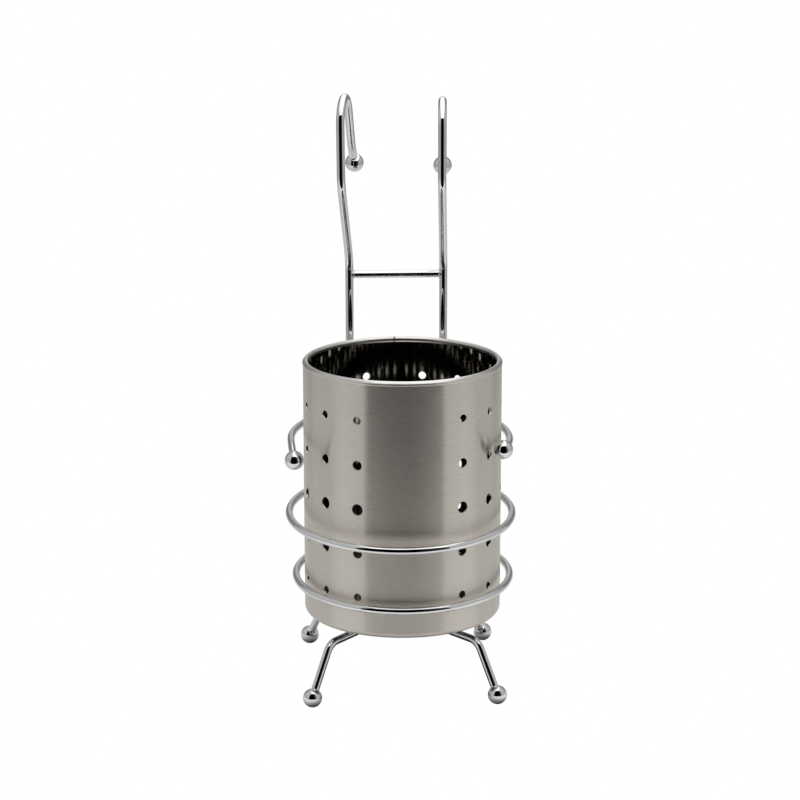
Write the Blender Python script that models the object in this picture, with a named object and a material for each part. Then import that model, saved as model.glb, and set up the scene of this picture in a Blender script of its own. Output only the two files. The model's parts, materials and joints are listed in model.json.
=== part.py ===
"""Hanging cutlery holder: a perforated steel cup in a chromed wire stand.

Run it with blender --background --python part.py, or from the text editor.
Units are metres. +Z is up and the front of the holder faces -Y. The pieces are
laid out round the stand's middle, with the feet on the plane z = 0, and the
whole holder is then moved so that its bounding box is centred over the origin.
"""
import math
from collections import namedtuple

import bmesh
import bpy
from mathutils import Matrix, Vector

# Colour and roughness of each metal finish
FINISHES = {
    "brushed_cup": ((0.62, 0.60, 0.57), 0.32),
    "chrome_wire": ((0.80, 0.80, 0.81), 0.08),
    "chrome_ball": ((0.82, 0.82, 0.83), 0.05),
}

# Clearances shared by every joint between two pieces
SEAT_GAP = 0.0003
CUT_OVERRUN = 0.003

# Wires of the stand
UPRIGHT_WIRE = 0.00425
RING_WIRE = 0.0038
ARC_WIRE = 0.0037
LEG_WIRE = 0.0040
CROSS_BAR_WIRE = 0.0040
BALL_DIAMETER = 0.0096

# Legs: two bowed wires that meet back to back under the cup
LEG_TOP_HEIGHT = 0.0291
LEG_CENTRE_X = -0.0004
LEG_CENTRE_Y = 0.0010
FOOT_HALF_WIDTH = 0.0464
FOOT_HALF_DEPTH = 0.0475
KNEE_SETBACK = 0.0148
KNEE_BEND_RADIUS = 0.0082
LEG_BOW_RADIUS = 0.0211
FOOT_FLAT_RADIUS = 0.0014

# Cup, which stands loose in the rings, a little to the right of their middle
CUP_SIDE_PLAY = 0.0005
CUP_DIAMETER = 0.1002
CUP_HEIGHT = 0.1318
SHEET_THICKNESS = 0.0006
RIM_BEAD_WIDTH = 0.0030
RIM_BEAD_HEIGHT = 0.0030
RIM_BEAD_PROUD = 0.0003
RIM_SPLIT_WIDTH = 0.0007
BASE_CORNER_RADIUS = 0.0028
BASE_SKIRT_HEIGHT = 0.0031
BASE_SPIGOT_HEIGHT = 0.0040
CUP_TURN = math.radians(2.3)

# Holes in the cup's wall: four panels of columns, with the largest holes half way up
HOLE_MIDDLE_DIAMETER = 0.0058
HOLE_DIAMETER_STEP = 0.0009
HOLE_ROWS = 5
HOLE_ROW_PITCH = 0.0227
LOWEST_ROW_HEIGHT = 0.0202
HOLE_COLUMN_PITCH = math.radians(23.3)
COLUMNS_PER_PANEL = 3
PANEL_CENTRES = tuple(math.radians(angle) for angle in (54.8, 139.5, -139.5, -54.8))

# Drain holes in the cup's base: one in the middle and two rings round it
DRAIN_HOLE_DIAMETER = 0.004
DRAIN_RING_PITCH = 0.015
DRAIN_RING_COUNTS = (1, 6, 12)

# Rings and the open arc that hold the cup with some play, each drooping a little to the front
LOWER_RING_PLAY = 0.0027
LOWER_RING_CENTRE_X = 0.0007
LOWER_RING_HEIGHT = 0.0547
LOWER_RING_DROOP = math.radians(2.6)
UPPER_RING_PLAY = 0.0047
UPPER_RING_CENTRE_X = -0.0005
UPPER_RING_HEIGHT = 0.0882
UPPER_RING_DROOP = math.radians(3.6)
ARC_PLAY = 0.00335
ARC_CENTRE_X = -0.0006
ARC_HEIGHT = 0.1266
ARC_DROOP = math.radians(2.7)
ARC_LEFT_REACH = math.radians(22.4)
ARC_LEFT_FLARE = 0.0032
ARC_LEFT_SAG = 0.0021
ARC_RIGHT_REACH = math.radians(23.2)
ARC_RIGHT_FLARE = 0.0008
ARC_RIGHT_LIFT = 0.0010

# Uprights: each runs under the cup, up behind it and over into a hook
UPRIGHT_SPACING = 0.0489
FOOT_BEND_RADIUS = 0.009
BAR_OVERHANG = 0.004
CROSS_BAR_HEIGHT = 0.1999
STEP_START_HEIGHT = 0.2008
STEP_BEND_RADIUS = 0.030
STEP_ANGLE = math.radians(26.5)
STEP_RUN = 0.0341
STEP_TWIST_LEFT = math.radians(12.4)
STEP_TWIST_RIGHT = math.radians(5.7)
HOOK_LEAN = math.radians(2.4)
HOOK_RISE_LEFT = 0.0241
HOOK_RISE_RIGHT = 0.0223
HOOK_BEND_RADIUS = 0.0119
HOOK_TWIST_LEFT = math.radians(12.0)
HOOK_TWIST_RIGHT = math.radians(4.0)
HOOK_TAIL_ANGLE = math.radians(157.4)
HOOK_TAIL_RUN = 0.018
HOOK_TAIL_FLARE = math.radians(23.3)
HOOK_TAIL_BEND_RADIUS = 0.030

# Way out of the stand: the cup swings up and forward on a wide arc about this line
LIFT_PIVOT_Y = -0.6125
LIFT_PIVOT_HEIGHT = 0.084

# Fineness of the faceted surfaces
CUP_SEGMENTS = 64
BEAD_STEPS = 8
CORNER_STEPS = 3
HOLE_SIDES = 12
RING_SEGMENTS = 60
ARC_SEGMENTS = 44
BEND_STEP = math.radians(12.0)
WIRE_ROUNDNESS = 3
BALL_SEGMENTS = 16
BALL_RINGS = 8
SMOOTH_LIMIT = math.radians(40.0)

# Places worked out from the sizes above
CUP_RADIUS = CUP_DIAMETER / 2
WALL_INNER_RADIUS = CUP_RADIUS - SHEET_THICKNESS
BALL_RADIUS = BALL_DIAMETER / 2
BAR_HEIGHT = LEG_TOP_HEIGHT + LEG_WIRE / 2 + SEAT_GAP + UPRIGHT_WIRE / 2
CUP_BASE_HEIGHT = BAR_HEIGHT + UPRIGHT_WIRE / 2 + SEAT_GAP
LOWER_RING_RADIUS = CUP_RADIUS + LOWER_RING_PLAY + RING_WIRE / 2
UPPER_RING_RADIUS = CUP_RADIUS + UPPER_RING_PLAY + RING_WIRE / 2
ARC_RADIUS = CUP_RADIUS + ARC_PLAY + ARC_WIRE / 2
UPRIGHT_X = UPRIGHT_SPACING / 2


def leg_direction():
    """Return the plan angle of a leg's arm, which runs from the foot tangent to the bow."""
    bow_depth = FOOT_HALF_DEPTH - LEG_BOW_RADIUS - (LEG_WIRE + SEAT_GAP) / 2
    reach = math.hypot(FOOT_HALF_WIDTH, bow_depth)
    return math.atan2(bow_depth, FOOT_HALF_WIDTH) + math.asin(LEG_BOW_RADIUS / reach)


def weld_depth(radius, wire, centre_x):
    """Return how far behind a ring's centre the nearer upright stands when they touch."""
    touch = radius + wire / 2 + UPRIGHT_WIRE / 2 + SEAT_GAP
    return math.sqrt(touch ** 2 - (UPRIGHT_X - abs(centre_x)) ** 2)


LEG_DIRECTION = leg_direction()
LEG_CORNER_DEPTH = FOOT_HALF_WIDTH * math.tan(LEG_DIRECTION) - FOOT_HALF_DEPTH
BAR_FRONT_Y = LEG_CENTRE_Y + LEG_CORNER_DEPTH - UPRIGHT_X * math.tan(LEG_DIRECTION) - BAR_OVERHANG
UPRIGHT_Y = weld_depth(LOWER_RING_RADIUS, RING_WIRE, LOWER_RING_CENTRE_X)
UPPER_RING_Y = UPRIGHT_Y - weld_depth(UPPER_RING_RADIUS, RING_WIRE, UPPER_RING_CENTRE_X)
ARC_Y = UPRIGHT_Y - weld_depth(ARC_RADIUS, ARC_WIRE, ARC_CENTRE_X)

Hook = namedtuple("Hook", "name side rise step_twist hook_twist")
HOOKS = (
    Hook("left", -1, HOOK_RISE_LEFT, STEP_TWIST_LEFT, HOOK_TWIST_LEFT),
    Hook("right", 1, HOOK_RISE_RIGHT, STEP_TWIST_RIGHT, HOOK_TWIST_RIGHT),
)


def clear_scene():
    """Remove every object and material that the file opens with."""
    for existing in list(bpy.data.objects):
        bpy.data.objects.remove(existing, do_unlink=True)
    for existing in list(bpy.data.materials):
        bpy.data.materials.remove(existing)


def metal(name):
    """Return the named metal finish, and make it the first time it is asked for."""
    if name in bpy.data.materials:
        return bpy.data.materials[name]
    colour, roughness = FINISHES[name]
    material = bpy.data.materials.new(name)
    material.use_nodes = True
    shader = material.node_tree.nodes["Principled BSDF"]
    shader.inputs["Base Color"].default_value = (*colour, 1.0)
    shader.inputs["Metallic"].default_value = 1.0
    shader.inputs["Roughness"].default_value = roughness
    return material


def add_piece(name, data, finish, carrier):
    """Put mesh or curve data in the scene as a named object on its carrier."""
    piece = bpy.data.objects.new(name, data)
    piece.data.materials.append(metal(finish))
    piece.parent = carrier
    bpy.context.scene.collection.objects.link(piece)
    return piece


def add_empty(name, place, carrier):
    """Add an empty that carries other objects."""
    empty = bpy.data.objects.new(name, None)
    empty.location = place
    empty.parent = carrier
    bpy.context.scene.collection.objects.link(empty)
    return empty


def mesh_from(name, shape):
    """Turn a bmesh into a mesh whose faces point outward."""
    bmesh.ops.recalc_face_normals(shape, faces=shape.faces)
    mesh = bpy.data.meshes.new(name)
    shape.to_mesh(mesh)
    shape.free()
    return mesh


def add_solid(name, shape, finish, carrier):
    """Turn a bmesh into a named object with round shading."""
    mesh = mesh_from(name, shape)
    mesh.shade_smooth()
    mesh.set_sharp_from_angle(angle=SMOOTH_LIMIT)
    return add_piece(name, mesh, finish, carrier)


def add_wire(name, points, diameter, carrier, closed=False):
    """Make a round wire along points, with flat capped ends unless it is closed."""
    curve = bpy.data.curves.new(name, "CURVE")
    curve.dimensions = "3D"
    curve.bevel_depth = diameter / 2
    curve.bevel_resolution = WIRE_ROUNDNESS
    curve.use_fill_caps = not closed
    spline = curve.splines.new("POLY")
    spline.points.add(len(points) - 1)
    for slot, point in zip(spline.points, points):
        slot.co = (*point, 1.0)
    spline.use_cyclic_u = closed
    spline.use_smooth = True
    return add_piece(name, curve, "chrome_wire", carrier)


def turned(profile, segments):
    """Spin a closed (radius, height) outline round Z; a zero radius becomes a pole."""
    shape = bmesh.new()
    rings = []
    for radius, height in profile:
        if radius == 0:
            rings.append([shape.verts.new((0, 0, height))])
            continue
        ring = []
        for index in range(segments):
            angle = math.tau * index / segments
            ring.append(shape.verts.new((radius * math.cos(angle), radius * math.sin(angle), height)))
        rings.append(ring)
    for ring, following in zip(rings, rings[1:] + rings[:1]):
        if len(ring) == 1 and len(following) == 1:
            continue
        for index in range(segments):
            after = (index + 1) % segments
            corners = [ring[index % len(ring)], ring[after % len(ring)],
                       following[after % len(following)], following[index % len(following)]]
            shape.faces.new(list(dict.fromkeys(corners)))
    return shape


def arc_points(centre, radii, start, end, steps):
    """Return (radius, height) points along an elliptical arc, both ends included."""
    points = []
    for index in range(steps + 1):
        angle = start + (end - start) * index / steps
        points.append((centre[0] + radii[0] * math.cos(angle), centre[1] + radii[1] * math.sin(angle)))
    return points


def drill(piece, cutter_name, shape):
    """Cut a hidden cutter out of a piece."""
    cutter = bpy.data.objects.new(cutter_name, mesh_from(cutter_name, shape))
    cutter.hide_render = True
    cutter.display_type = "WIRE"
    cutter.parent = piece
    bpy.context.scene.collection.objects.link(cutter)
    cut = piece.modifiers.new(cutter_name, "BOOLEAN")
    cut.operation = "DIFFERENCE"
    cut.solver = "EXACT"
    cut.object = cutter


def add_bar(shape, place, diameter, length):
    """Add a round cutting bar along the Z axis of its place."""
    bmesh.ops.create_cone(shape, cap_ends=True, segments=HOLE_SIDES, matrix=place, depth=length,
                          radius1=diameter / 2, radius2=diameter / 2)


def wall_hole_angles():
    """Return the angle of each column of holes, measured from the front."""
    middle = (COLUMNS_PER_PANEL - 1) / 2
    return [centre + (column - middle) * HOLE_COLUMN_PITCH
            for centre in PANEL_CENTRES for column in range(COLUMNS_PER_PANEL)]


def wall_hole_cutters():
    """Make one short bar across the sheet for each hole in the cup's wall."""
    shape = bmesh.new()
    sheet_middle = CUP_RADIUS - SHEET_THICKNESS / 2
    for row in range(HOLE_ROWS):
        height = LOWEST_ROW_HEIGHT + row * HOLE_ROW_PITCH
        diameter = HOLE_MIDDLE_DIAMETER - HOLE_DIAMETER_STEP * abs(row - HOLE_ROWS // 2)
        for angle in wall_hole_angles():
            place = (Matrix.Rotation(angle, 4, "Z") @ Matrix.Translation((0, -sheet_middle, height))
                     @ Matrix.Rotation(math.pi / 2, 4, "X"))
            add_bar(shape, place, diameter, SHEET_THICKNESS + 2 * CUT_OVERRUN)
    return shape


def drain_hole_cutters():
    """Make one bar down through the base for each drain hole."""
    shape = bmesh.new()
    for ring, count in enumerate(DRAIN_RING_COUNTS):
        for index in range(count):
            place = (Matrix.Rotation(math.tau * index / count, 4, "Z")
                     @ Matrix.Translation((ring * DRAIN_RING_PITCH, 0, SHEET_THICKNESS / 2)))
            add_bar(shape, place, DRAIN_HOLE_DIAMETER, SHEET_THICKNESS + 2 * CUT_OVERRUN)
    return shape


def rim_split_cutter():
    """Make the thin block that parts the rolled rim at the seam, behind the cup."""
    shape = bmesh.new()
    bmesh.ops.create_cube(shape, size=1.0)
    height = RIM_BEAD_HEIGHT + CUT_OVERRUN
    bmesh.ops.scale(shape, vec=(RIM_SPLIT_WIDTH, RIM_BEAD_WIDTH + 2 * CUT_OVERRUN, height),
                    verts=shape.verts)
    centre = (0, CUP_RADIUS, CUP_HEIGHT - RIM_BEAD_HEIGHT + height / 2)
    bmesh.ops.translate(shape, vec=centre, verts=shape.verts)
    return shape


def seat_cup_piece(piece):
    """Stand a piece of the cup on the stand's bars, turned as it sits there."""
    piece.location = (CUP_SIDE_PLAY, -LIFT_PIVOT_Y, CUP_BASE_HEIGHT - LIFT_PIVOT_HEIGHT)
    piece.rotation_euler = (0, 0, CUP_TURN)


def make_cup_wall(carrier):
    """Make the perforated wall with the rolled rim along its top."""
    bead_radii = (RIM_BEAD_WIDTH / 2, RIM_BEAD_HEIGHT / 2)
    bead_centre = (CUP_RADIUS + RIM_BEAD_PROUD - bead_radii[0], CUP_HEIGHT - bead_radii[1])
    start = -math.acos((CUP_RADIUS - bead_centre[0]) / bead_radii[0])
    end = math.tau - math.acos((WALL_INNER_RADIUS - bead_centre[0]) / bead_radii[0])
    bottom = BASE_SKIRT_HEIGHT + SEAT_GAP
    profile = [(CUP_RADIUS, bottom)]
    profile += arc_points(bead_centre, bead_radii, start, end, BEAD_STEPS)
    profile.append((WALL_INNER_RADIUS, bottom))
    wall = add_solid("cup_wall", turned(profile, CUP_SEGMENTS), "brushed_cup", carrier)
    drill(wall, "wall_hole_cutters", wall_hole_cutters())
    drill(wall, "rim_split_cutter", rim_split_cutter())
    seat_cup_piece(wall)


def make_cup_base(carrier):
    """Make the pressed base, whose spigot stands inside the wall's lower edge."""
    spigot_outer = WALL_INNER_RADIUS - SEAT_GAP
    spigot_inner = spigot_outer - SHEET_THICKNESS
    spigot_top = BASE_SKIRT_HEIGHT + BASE_SPIGOT_HEIGHT
    inner_corner = BASE_CORNER_RADIUS - SHEET_THICKNESS
    quarter = math.pi / 2
    profile = [(0, SHEET_THICKNESS), (0, 0)]
    profile += arc_points((CUP_RADIUS - BASE_CORNER_RADIUS, BASE_CORNER_RADIUS),
                          (BASE_CORNER_RADIUS, BASE_CORNER_RADIUS), -quarter, 0, CORNER_STEPS)
    profile += [(CUP_RADIUS, BASE_SKIRT_HEIGHT), (spigot_outer, BASE_SKIRT_HEIGHT)]
    profile += [(spigot_outer, spigot_top), (spigot_inner, spigot_top)]
    profile += arc_points((spigot_inner - inner_corner, BASE_CORNER_RADIUS),
                          (inner_corner, inner_corner), 0, -quarter, CORNER_STEPS)
    base = add_solid("cup_base", turned(profile, CUP_SEGMENTS), "brushed_cup", carrier)
    drill(base, "drain_hole_cutters", drain_hole_cutters())
    seat_cup_piece(base)


def ring_point(radius, centre, droop, angle):
    """Return a point on a level ring whose front hangs lower by the droop angle."""
    back = radius * math.sin(angle)
    return centre + Vector((radius * math.cos(angle), back * math.cos(droop), back * math.sin(droop)))


def make_ring(name, radius, centre, droop, carrier):
    """Make one closed ring round the cup."""
    points = [ring_point(radius, Vector(centre), droop, math.tau * index / RING_SEGMENTS)
              for index in range(RING_SEGMENTS)]
    add_wire(name, points, RING_WIRE, carrier, closed=True)


def seat_distance(wire):
    """Return how far from a ball's centre its flat for the wire's end lies."""
    return math.sqrt(BALL_RADIUS ** 2 - (wire / 2) ** 2)


def cut_flat(shape, direction, distance):
    """Slice a cap off a ball at right angles to a direction and close the cut."""
    geometry = shape.verts[:] + shape.edges[:] + shape.faces[:]
    bmesh.ops.bisect_plane(shape, geom=geometry, plane_co=direction * distance, plane_no=direction,
                           clear_outer=True)
    open_edges = [edge for edge in shape.edges if edge.is_boundary]
    bmesh.ops.holes_fill(shape, edges=open_edges)


def make_ball(name, points, wire, carrier, stands=False):
    """Make the ball beyond the last of a wire's points, with a flat where they meet.

    A ball that stands on the ground also has a small flat underneath.
    """
    heading = (points[-1] - points[-2]).normalized()
    centre = points[-1] + heading * (seat_distance(wire) + SEAT_GAP)
    shape = bmesh.new()
    bmesh.ops.create_uvsphere(shape, u_segments=BALL_SEGMENTS, v_segments=BALL_RINGS, radius=BALL_RADIUS)
    turn = Vector((0, 0, 1)).rotation_difference(-heading).to_matrix()
    bmesh.ops.rotate(shape, matrix=turn, verts=shape.verts)
    cut_flat(shape, -heading, seat_distance(wire))
    if stands:
        cut_flat(shape, Vector((0, 0, -1)), centre.z)
    ball = add_solid(name, shape, "chrome_ball", carrier)
    ball.location = centre


def make_holding_arc(carrier):
    """Make the open arc behind the cup and the balls on its two ends."""
    centre = Vector((ARC_CENTRE_X, ARC_Y, ARC_HEIGHT))
    left_strain = Vector((-ARC_LEFT_FLARE, 0, -ARC_LEFT_SAG))
    right_strain = Vector((ARC_RIGHT_FLARE, 0, ARC_RIGHT_LIFT))
    start = math.pi + ARC_LEFT_REACH
    end = -ARC_RIGHT_REACH
    points = []
    for index in range(ARC_SEGMENTS + 1):
        angle = start + (end - start) * index / ARC_SEGMENTS
        left_share = max(0.0, (angle - math.pi) / ARC_LEFT_REACH) ** 2
        right_share = max(0.0, -angle / ARC_RIGHT_REACH) ** 2
        point = ring_point(ARC_RADIUS, centre, ARC_DROOP, angle)
        points.append(point + left_strain * left_share + right_strain * right_share)
    add_wire("holding_arc", points, ARC_WIRE, carrier)
    make_ball("arc_ball_left", points[::-1], ARC_WIRE, carrier)
    make_ball("arc_ball_right", points, ARC_WIRE, carrier)


def feed(points, heading, length):
    """Lengthen a flat path by a straight run; heading is measured from straight up."""
    across, up = points[-1]
    points.append((across + length * math.sin(heading), up + length * math.cos(heading)))


def bend(points, heading, radius, angle):
    """Lengthen a flat path by a bend and return the new heading."""
    steps = max(2, math.ceil(abs(angle) / BEND_STEP))
    chord = 2 * radius * math.sin(abs(angle) / steps / 2)
    for _ in range(steps):
        feed(points, heading + angle / steps / 2, chord)
        heading += angle / steps
    return heading


def foot_path():
    """Trace an upright's foot, forward to back under the cup and then up behind it."""
    points = [(BAR_FRONT_Y - UPRIGHT_Y, BAR_HEIGHT)]
    feed(points, math.pi / 2, UPRIGHT_Y - BAR_FRONT_Y - FOOT_BEND_RADIUS)
    bend(points, math.pi / 2, FOOT_BEND_RADIUS, -math.pi / 2)
    return points


def step_path(rise):
    """Trace the step that brings an upright forward, above the cup."""
    points = [(0, STEP_START_HEIGHT)]
    heading = bend(points, 0, STEP_BEND_RADIUS, -STEP_ANGLE)
    feed(points, heading, STEP_RUN)
    heading = bend(points, heading, STEP_BEND_RADIUS, STEP_ANGLE - HOOK_LEAN)
    feed(points, heading, rise)
    return points


def hook_path():
    """Trace a hook from the start of its bend, over the top and down its tail."""
    points = [(0, 0)]
    heading = bend(points, -HOOK_LEAN, HOOK_BEND_RADIUS, HOOK_LEAN + HOOK_TAIL_ANGLE)
    feed(points, heading, HOOK_TAIL_RUN)
    bend(points, heading, HOOK_TAIL_BEND_RADIUS, -HOOK_TAIL_FLARE)
    return points


def in_plane(path, corner, twist):
    """Stand a flat path in an upright plane that is turned by the twist angle."""
    backward = Vector((math.sin(twist), math.cos(twist), 0))
    return [corner + backward * across + Vector((0, 0, up)) for across, up in path]


def make_upright(hook, carrier):
    """Make one upright with its hook, and the ball on the hook's end."""
    corner = Vector((hook.side * UPRIGHT_X, UPRIGHT_Y, 0))
    points = in_plane(foot_path(), corner, 0)
    points += in_plane(step_path(hook.rise), corner, hook.step_twist)
    points += in_plane(hook_path(), points[-1], hook.hook_twist)[1:]
    add_wire("upright_" + hook.name, points, UPRIGHT_WIRE, carrier)
    make_ball("hook_ball_" + hook.name, points, UPRIGHT_WIRE, carrier)


def make_cross_bar(carrier):
    """Make the straight bar between the uprights, above the cup."""
    reach = UPRIGHT_X - UPRIGHT_WIRE / 2 - SEAT_GAP
    ends = [Vector((hook.side * reach, UPRIGHT_Y, CROSS_BAR_HEIGHT)) for hook in HOOKS]
    add_wire("cross_bar", ends, CROSS_BAR_WIRE, carrier)


def rounded_path(corners, radii):
    """Return points along straight runs whose inner corners are rounded to radii."""
    points = [corners[0]]
    for before, corner, after, radius in zip(corners, corners[1:], corners[2:], radii):
        arriving = (corner - before).normalized()
        leaving = (after - corner).normalized()
        turn = arriving.angle(leaving)
        axis = arriving.cross(leaving).normalized()
        start = corner - arriving * radius * math.tan(turn / 2)
        centre = start + axis.cross(arriving) * radius
        steps = max(2, math.ceil(turn / BEND_STEP))
        for index in range(steps + 1):
            points.append(centre + Matrix.Rotation(turn * index / steps, 3, axis) @ (start - centre))
    points.append(corners[-1])
    return points


def make_leg_wire(end_name, end_side, carrier):
    """Make the bowed wire of two legs, and the ball under each of its feet."""
    foot_height = math.sqrt(BALL_RADIUS ** 2 - FOOT_FLAT_RADIUS ** 2)
    centre = Vector((LEG_CENTRE_X, LEG_CENTRE_Y, 0))
    corner = centre + Vector((0, -end_side * LEG_CORNER_DEPTH, LEG_TOP_HEIGHT))
    ends, knees = [], []
    for hook in HOOKS:
        foot = centre + Vector((hook.side * FOOT_HALF_WIDTH, end_side * FOOT_HALF_DEPTH, foot_height))
        way = Vector((hook.side * math.cos(LEG_DIRECTION), end_side * math.sin(LEG_DIRECTION), 0))
        knee = foot - way * KNEE_SETBACK
        knee.z = LEG_TOP_HEIGHT
        knees.append(knee)
        ends.append(foot - (foot - knee).normalized() * (seat_distance(LEG_WIRE) + SEAT_GAP))
    corners = [ends[0], knees[0], corner, knees[1], ends[1]]
    points = rounded_path(corners, [KNEE_BEND_RADIUS, LEG_BOW_RADIUS, KNEE_BEND_RADIUS])
    add_wire("leg_wire_" + end_name, points, LEG_WIRE, carrier)
    make_ball("foot_ball_" + end_name + "_left", points[::-1], LEG_WIRE, carrier, stands=True)
    make_ball("foot_ball_" + end_name + "_right", points, LEG_WIRE, carrier, stands=True)


def centre_over_origin(root):
    """Move the whole holder so that its bounding box stands centred over the origin."""
    bpy.context.view_layer.update()
    view = bpy.context.evaluated_depsgraph_get()
    corners = []
    for piece in bpy.context.scene.objects:
        if piece.type == "EMPTY" or piece.hide_render:
            continue
        shown = piece.evaluated_get(view)
        corners += [shown.matrix_world @ vertex.co for vertex in shown.to_mesh().vertices]
        shown.to_mesh_clear()
    low = Vector([min(corner[axis] for corner in corners) for axis in range(3)])
    high = Vector([max(corner[axis] for corner in corners) for axis in range(3)])
    root.location = (-(low.x + high.x) / 2, -(low.y + high.y) / 2, -low.z)


def main():
    """Build the whole holder."""
    clear_scene()
    root = add_empty("holder", (0, 0, 0), None)
    stand = add_empty("stand", (0, 0, 0), root)
    cup = add_empty("cup", (0, LIFT_PIVOT_Y, LIFT_PIVOT_HEIGHT), root)
    make_cup_wall(cup)
    make_cup_base(cup)
    lower_centre = (LOWER_RING_CENTRE_X, 0, LOWER_RING_HEIGHT)
    upper_centre = (UPPER_RING_CENTRE_X, UPPER_RING_Y, UPPER_RING_HEIGHT)
    make_ring("lower_ring", LOWER_RING_RADIUS, lower_centre, LOWER_RING_DROOP, stand)
    make_ring("upper_ring", UPPER_RING_RADIUS, upper_centre, UPPER_RING_DROOP, stand)
    make_holding_arc(stand)
    for hook in HOOKS:
        make_upright(hook, stand)
    make_cross_bar(stand)
    make_leg_wire("front", -1, stand)
    make_leg_wire("rear", 1, stand)
    centre_over_origin(root)


main()
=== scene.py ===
"""Looks of the hanging cutlery holder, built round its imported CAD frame.

The cup is perforated, brushed steel sheet with a polished, rolled rim. It stands loose in
a stand of bright chromed wire with ball feet and two hooks. Every CAD node is stood for by
a finer piece of the same size at the same place. Lengths are metres. Paths are laid out
round the stand's middle, as in the part's source, and then moved into the frame.
"""

import json
import logging
import math
from collections.abc import Mapping, Sequence
from dataclasses import dataclass, field
from enum import Enum
from typing import Any

import bmesh
import bpy
from mathutils import Matrix, Vector

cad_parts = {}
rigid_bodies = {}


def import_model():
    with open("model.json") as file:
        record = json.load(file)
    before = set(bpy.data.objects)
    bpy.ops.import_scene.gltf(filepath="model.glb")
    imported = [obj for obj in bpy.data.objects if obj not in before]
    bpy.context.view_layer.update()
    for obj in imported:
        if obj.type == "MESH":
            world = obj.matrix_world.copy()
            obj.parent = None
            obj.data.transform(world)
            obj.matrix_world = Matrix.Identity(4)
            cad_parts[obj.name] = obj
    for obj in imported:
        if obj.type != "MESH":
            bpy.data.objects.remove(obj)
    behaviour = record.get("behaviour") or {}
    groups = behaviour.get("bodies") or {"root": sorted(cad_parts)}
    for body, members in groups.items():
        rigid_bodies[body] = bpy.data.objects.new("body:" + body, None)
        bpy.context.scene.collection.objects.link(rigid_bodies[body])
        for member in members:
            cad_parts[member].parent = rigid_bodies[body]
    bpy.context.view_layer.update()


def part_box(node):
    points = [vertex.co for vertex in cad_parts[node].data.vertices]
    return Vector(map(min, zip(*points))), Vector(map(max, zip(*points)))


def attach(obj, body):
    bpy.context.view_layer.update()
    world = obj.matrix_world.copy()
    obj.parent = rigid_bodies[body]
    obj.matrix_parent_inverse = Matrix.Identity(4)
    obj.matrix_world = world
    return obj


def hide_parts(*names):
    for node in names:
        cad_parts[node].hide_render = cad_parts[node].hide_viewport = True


LOG = logging.getLogger("cutlery_holder")

IMAGE_PIXELS = 800
SENSOR_WIDTH = 36.0
QUARTER = math.pi / 2
NEARLY_NOTHING = 0.000001
WHITE = (1.0, 1.0, 1.0, 1.0)

# Edges sharper than these stay sharp on sheet, on wire, and on balls and beads.
SHEET_CREASE = math.radians(32)
WIRE_CREASE = math.radians(50)
ROUND_CREASE = math.radians(60)

# The wall has a panel of holes at either side, front and rear.
PANELS = 4
# Share of the sheet's thickness, from either face, that counts as that face.
SKIN = 0.12
# How far apart the two grooves of the rim's split lie, in widths of the rim.
GROOVE_SPACING = 1.3
# How thick a wire's rounded end still is at its very tip, as a share.
TIP_SHARE = 0.04

Pair = tuple[float, float]
Triple = tuple[float, float, float]


class Side(Enum):
    """Left or right of the holder, seen from the front."""

    LEFT = -1
    RIGHT = 1


class End(Enum):
    """Front or rear of the holder."""

    FRONT = -1
    REAR = 1


class Body(Enum):
    """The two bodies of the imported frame."""

    STAND = "stand"
    CUP = "cup"


class Slot(Enum):
    """The record's material slots."""

    CUP = "brushed_cup"
    WIRE = "chrome_wire"
    BALL = "chrome_ball"


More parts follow.
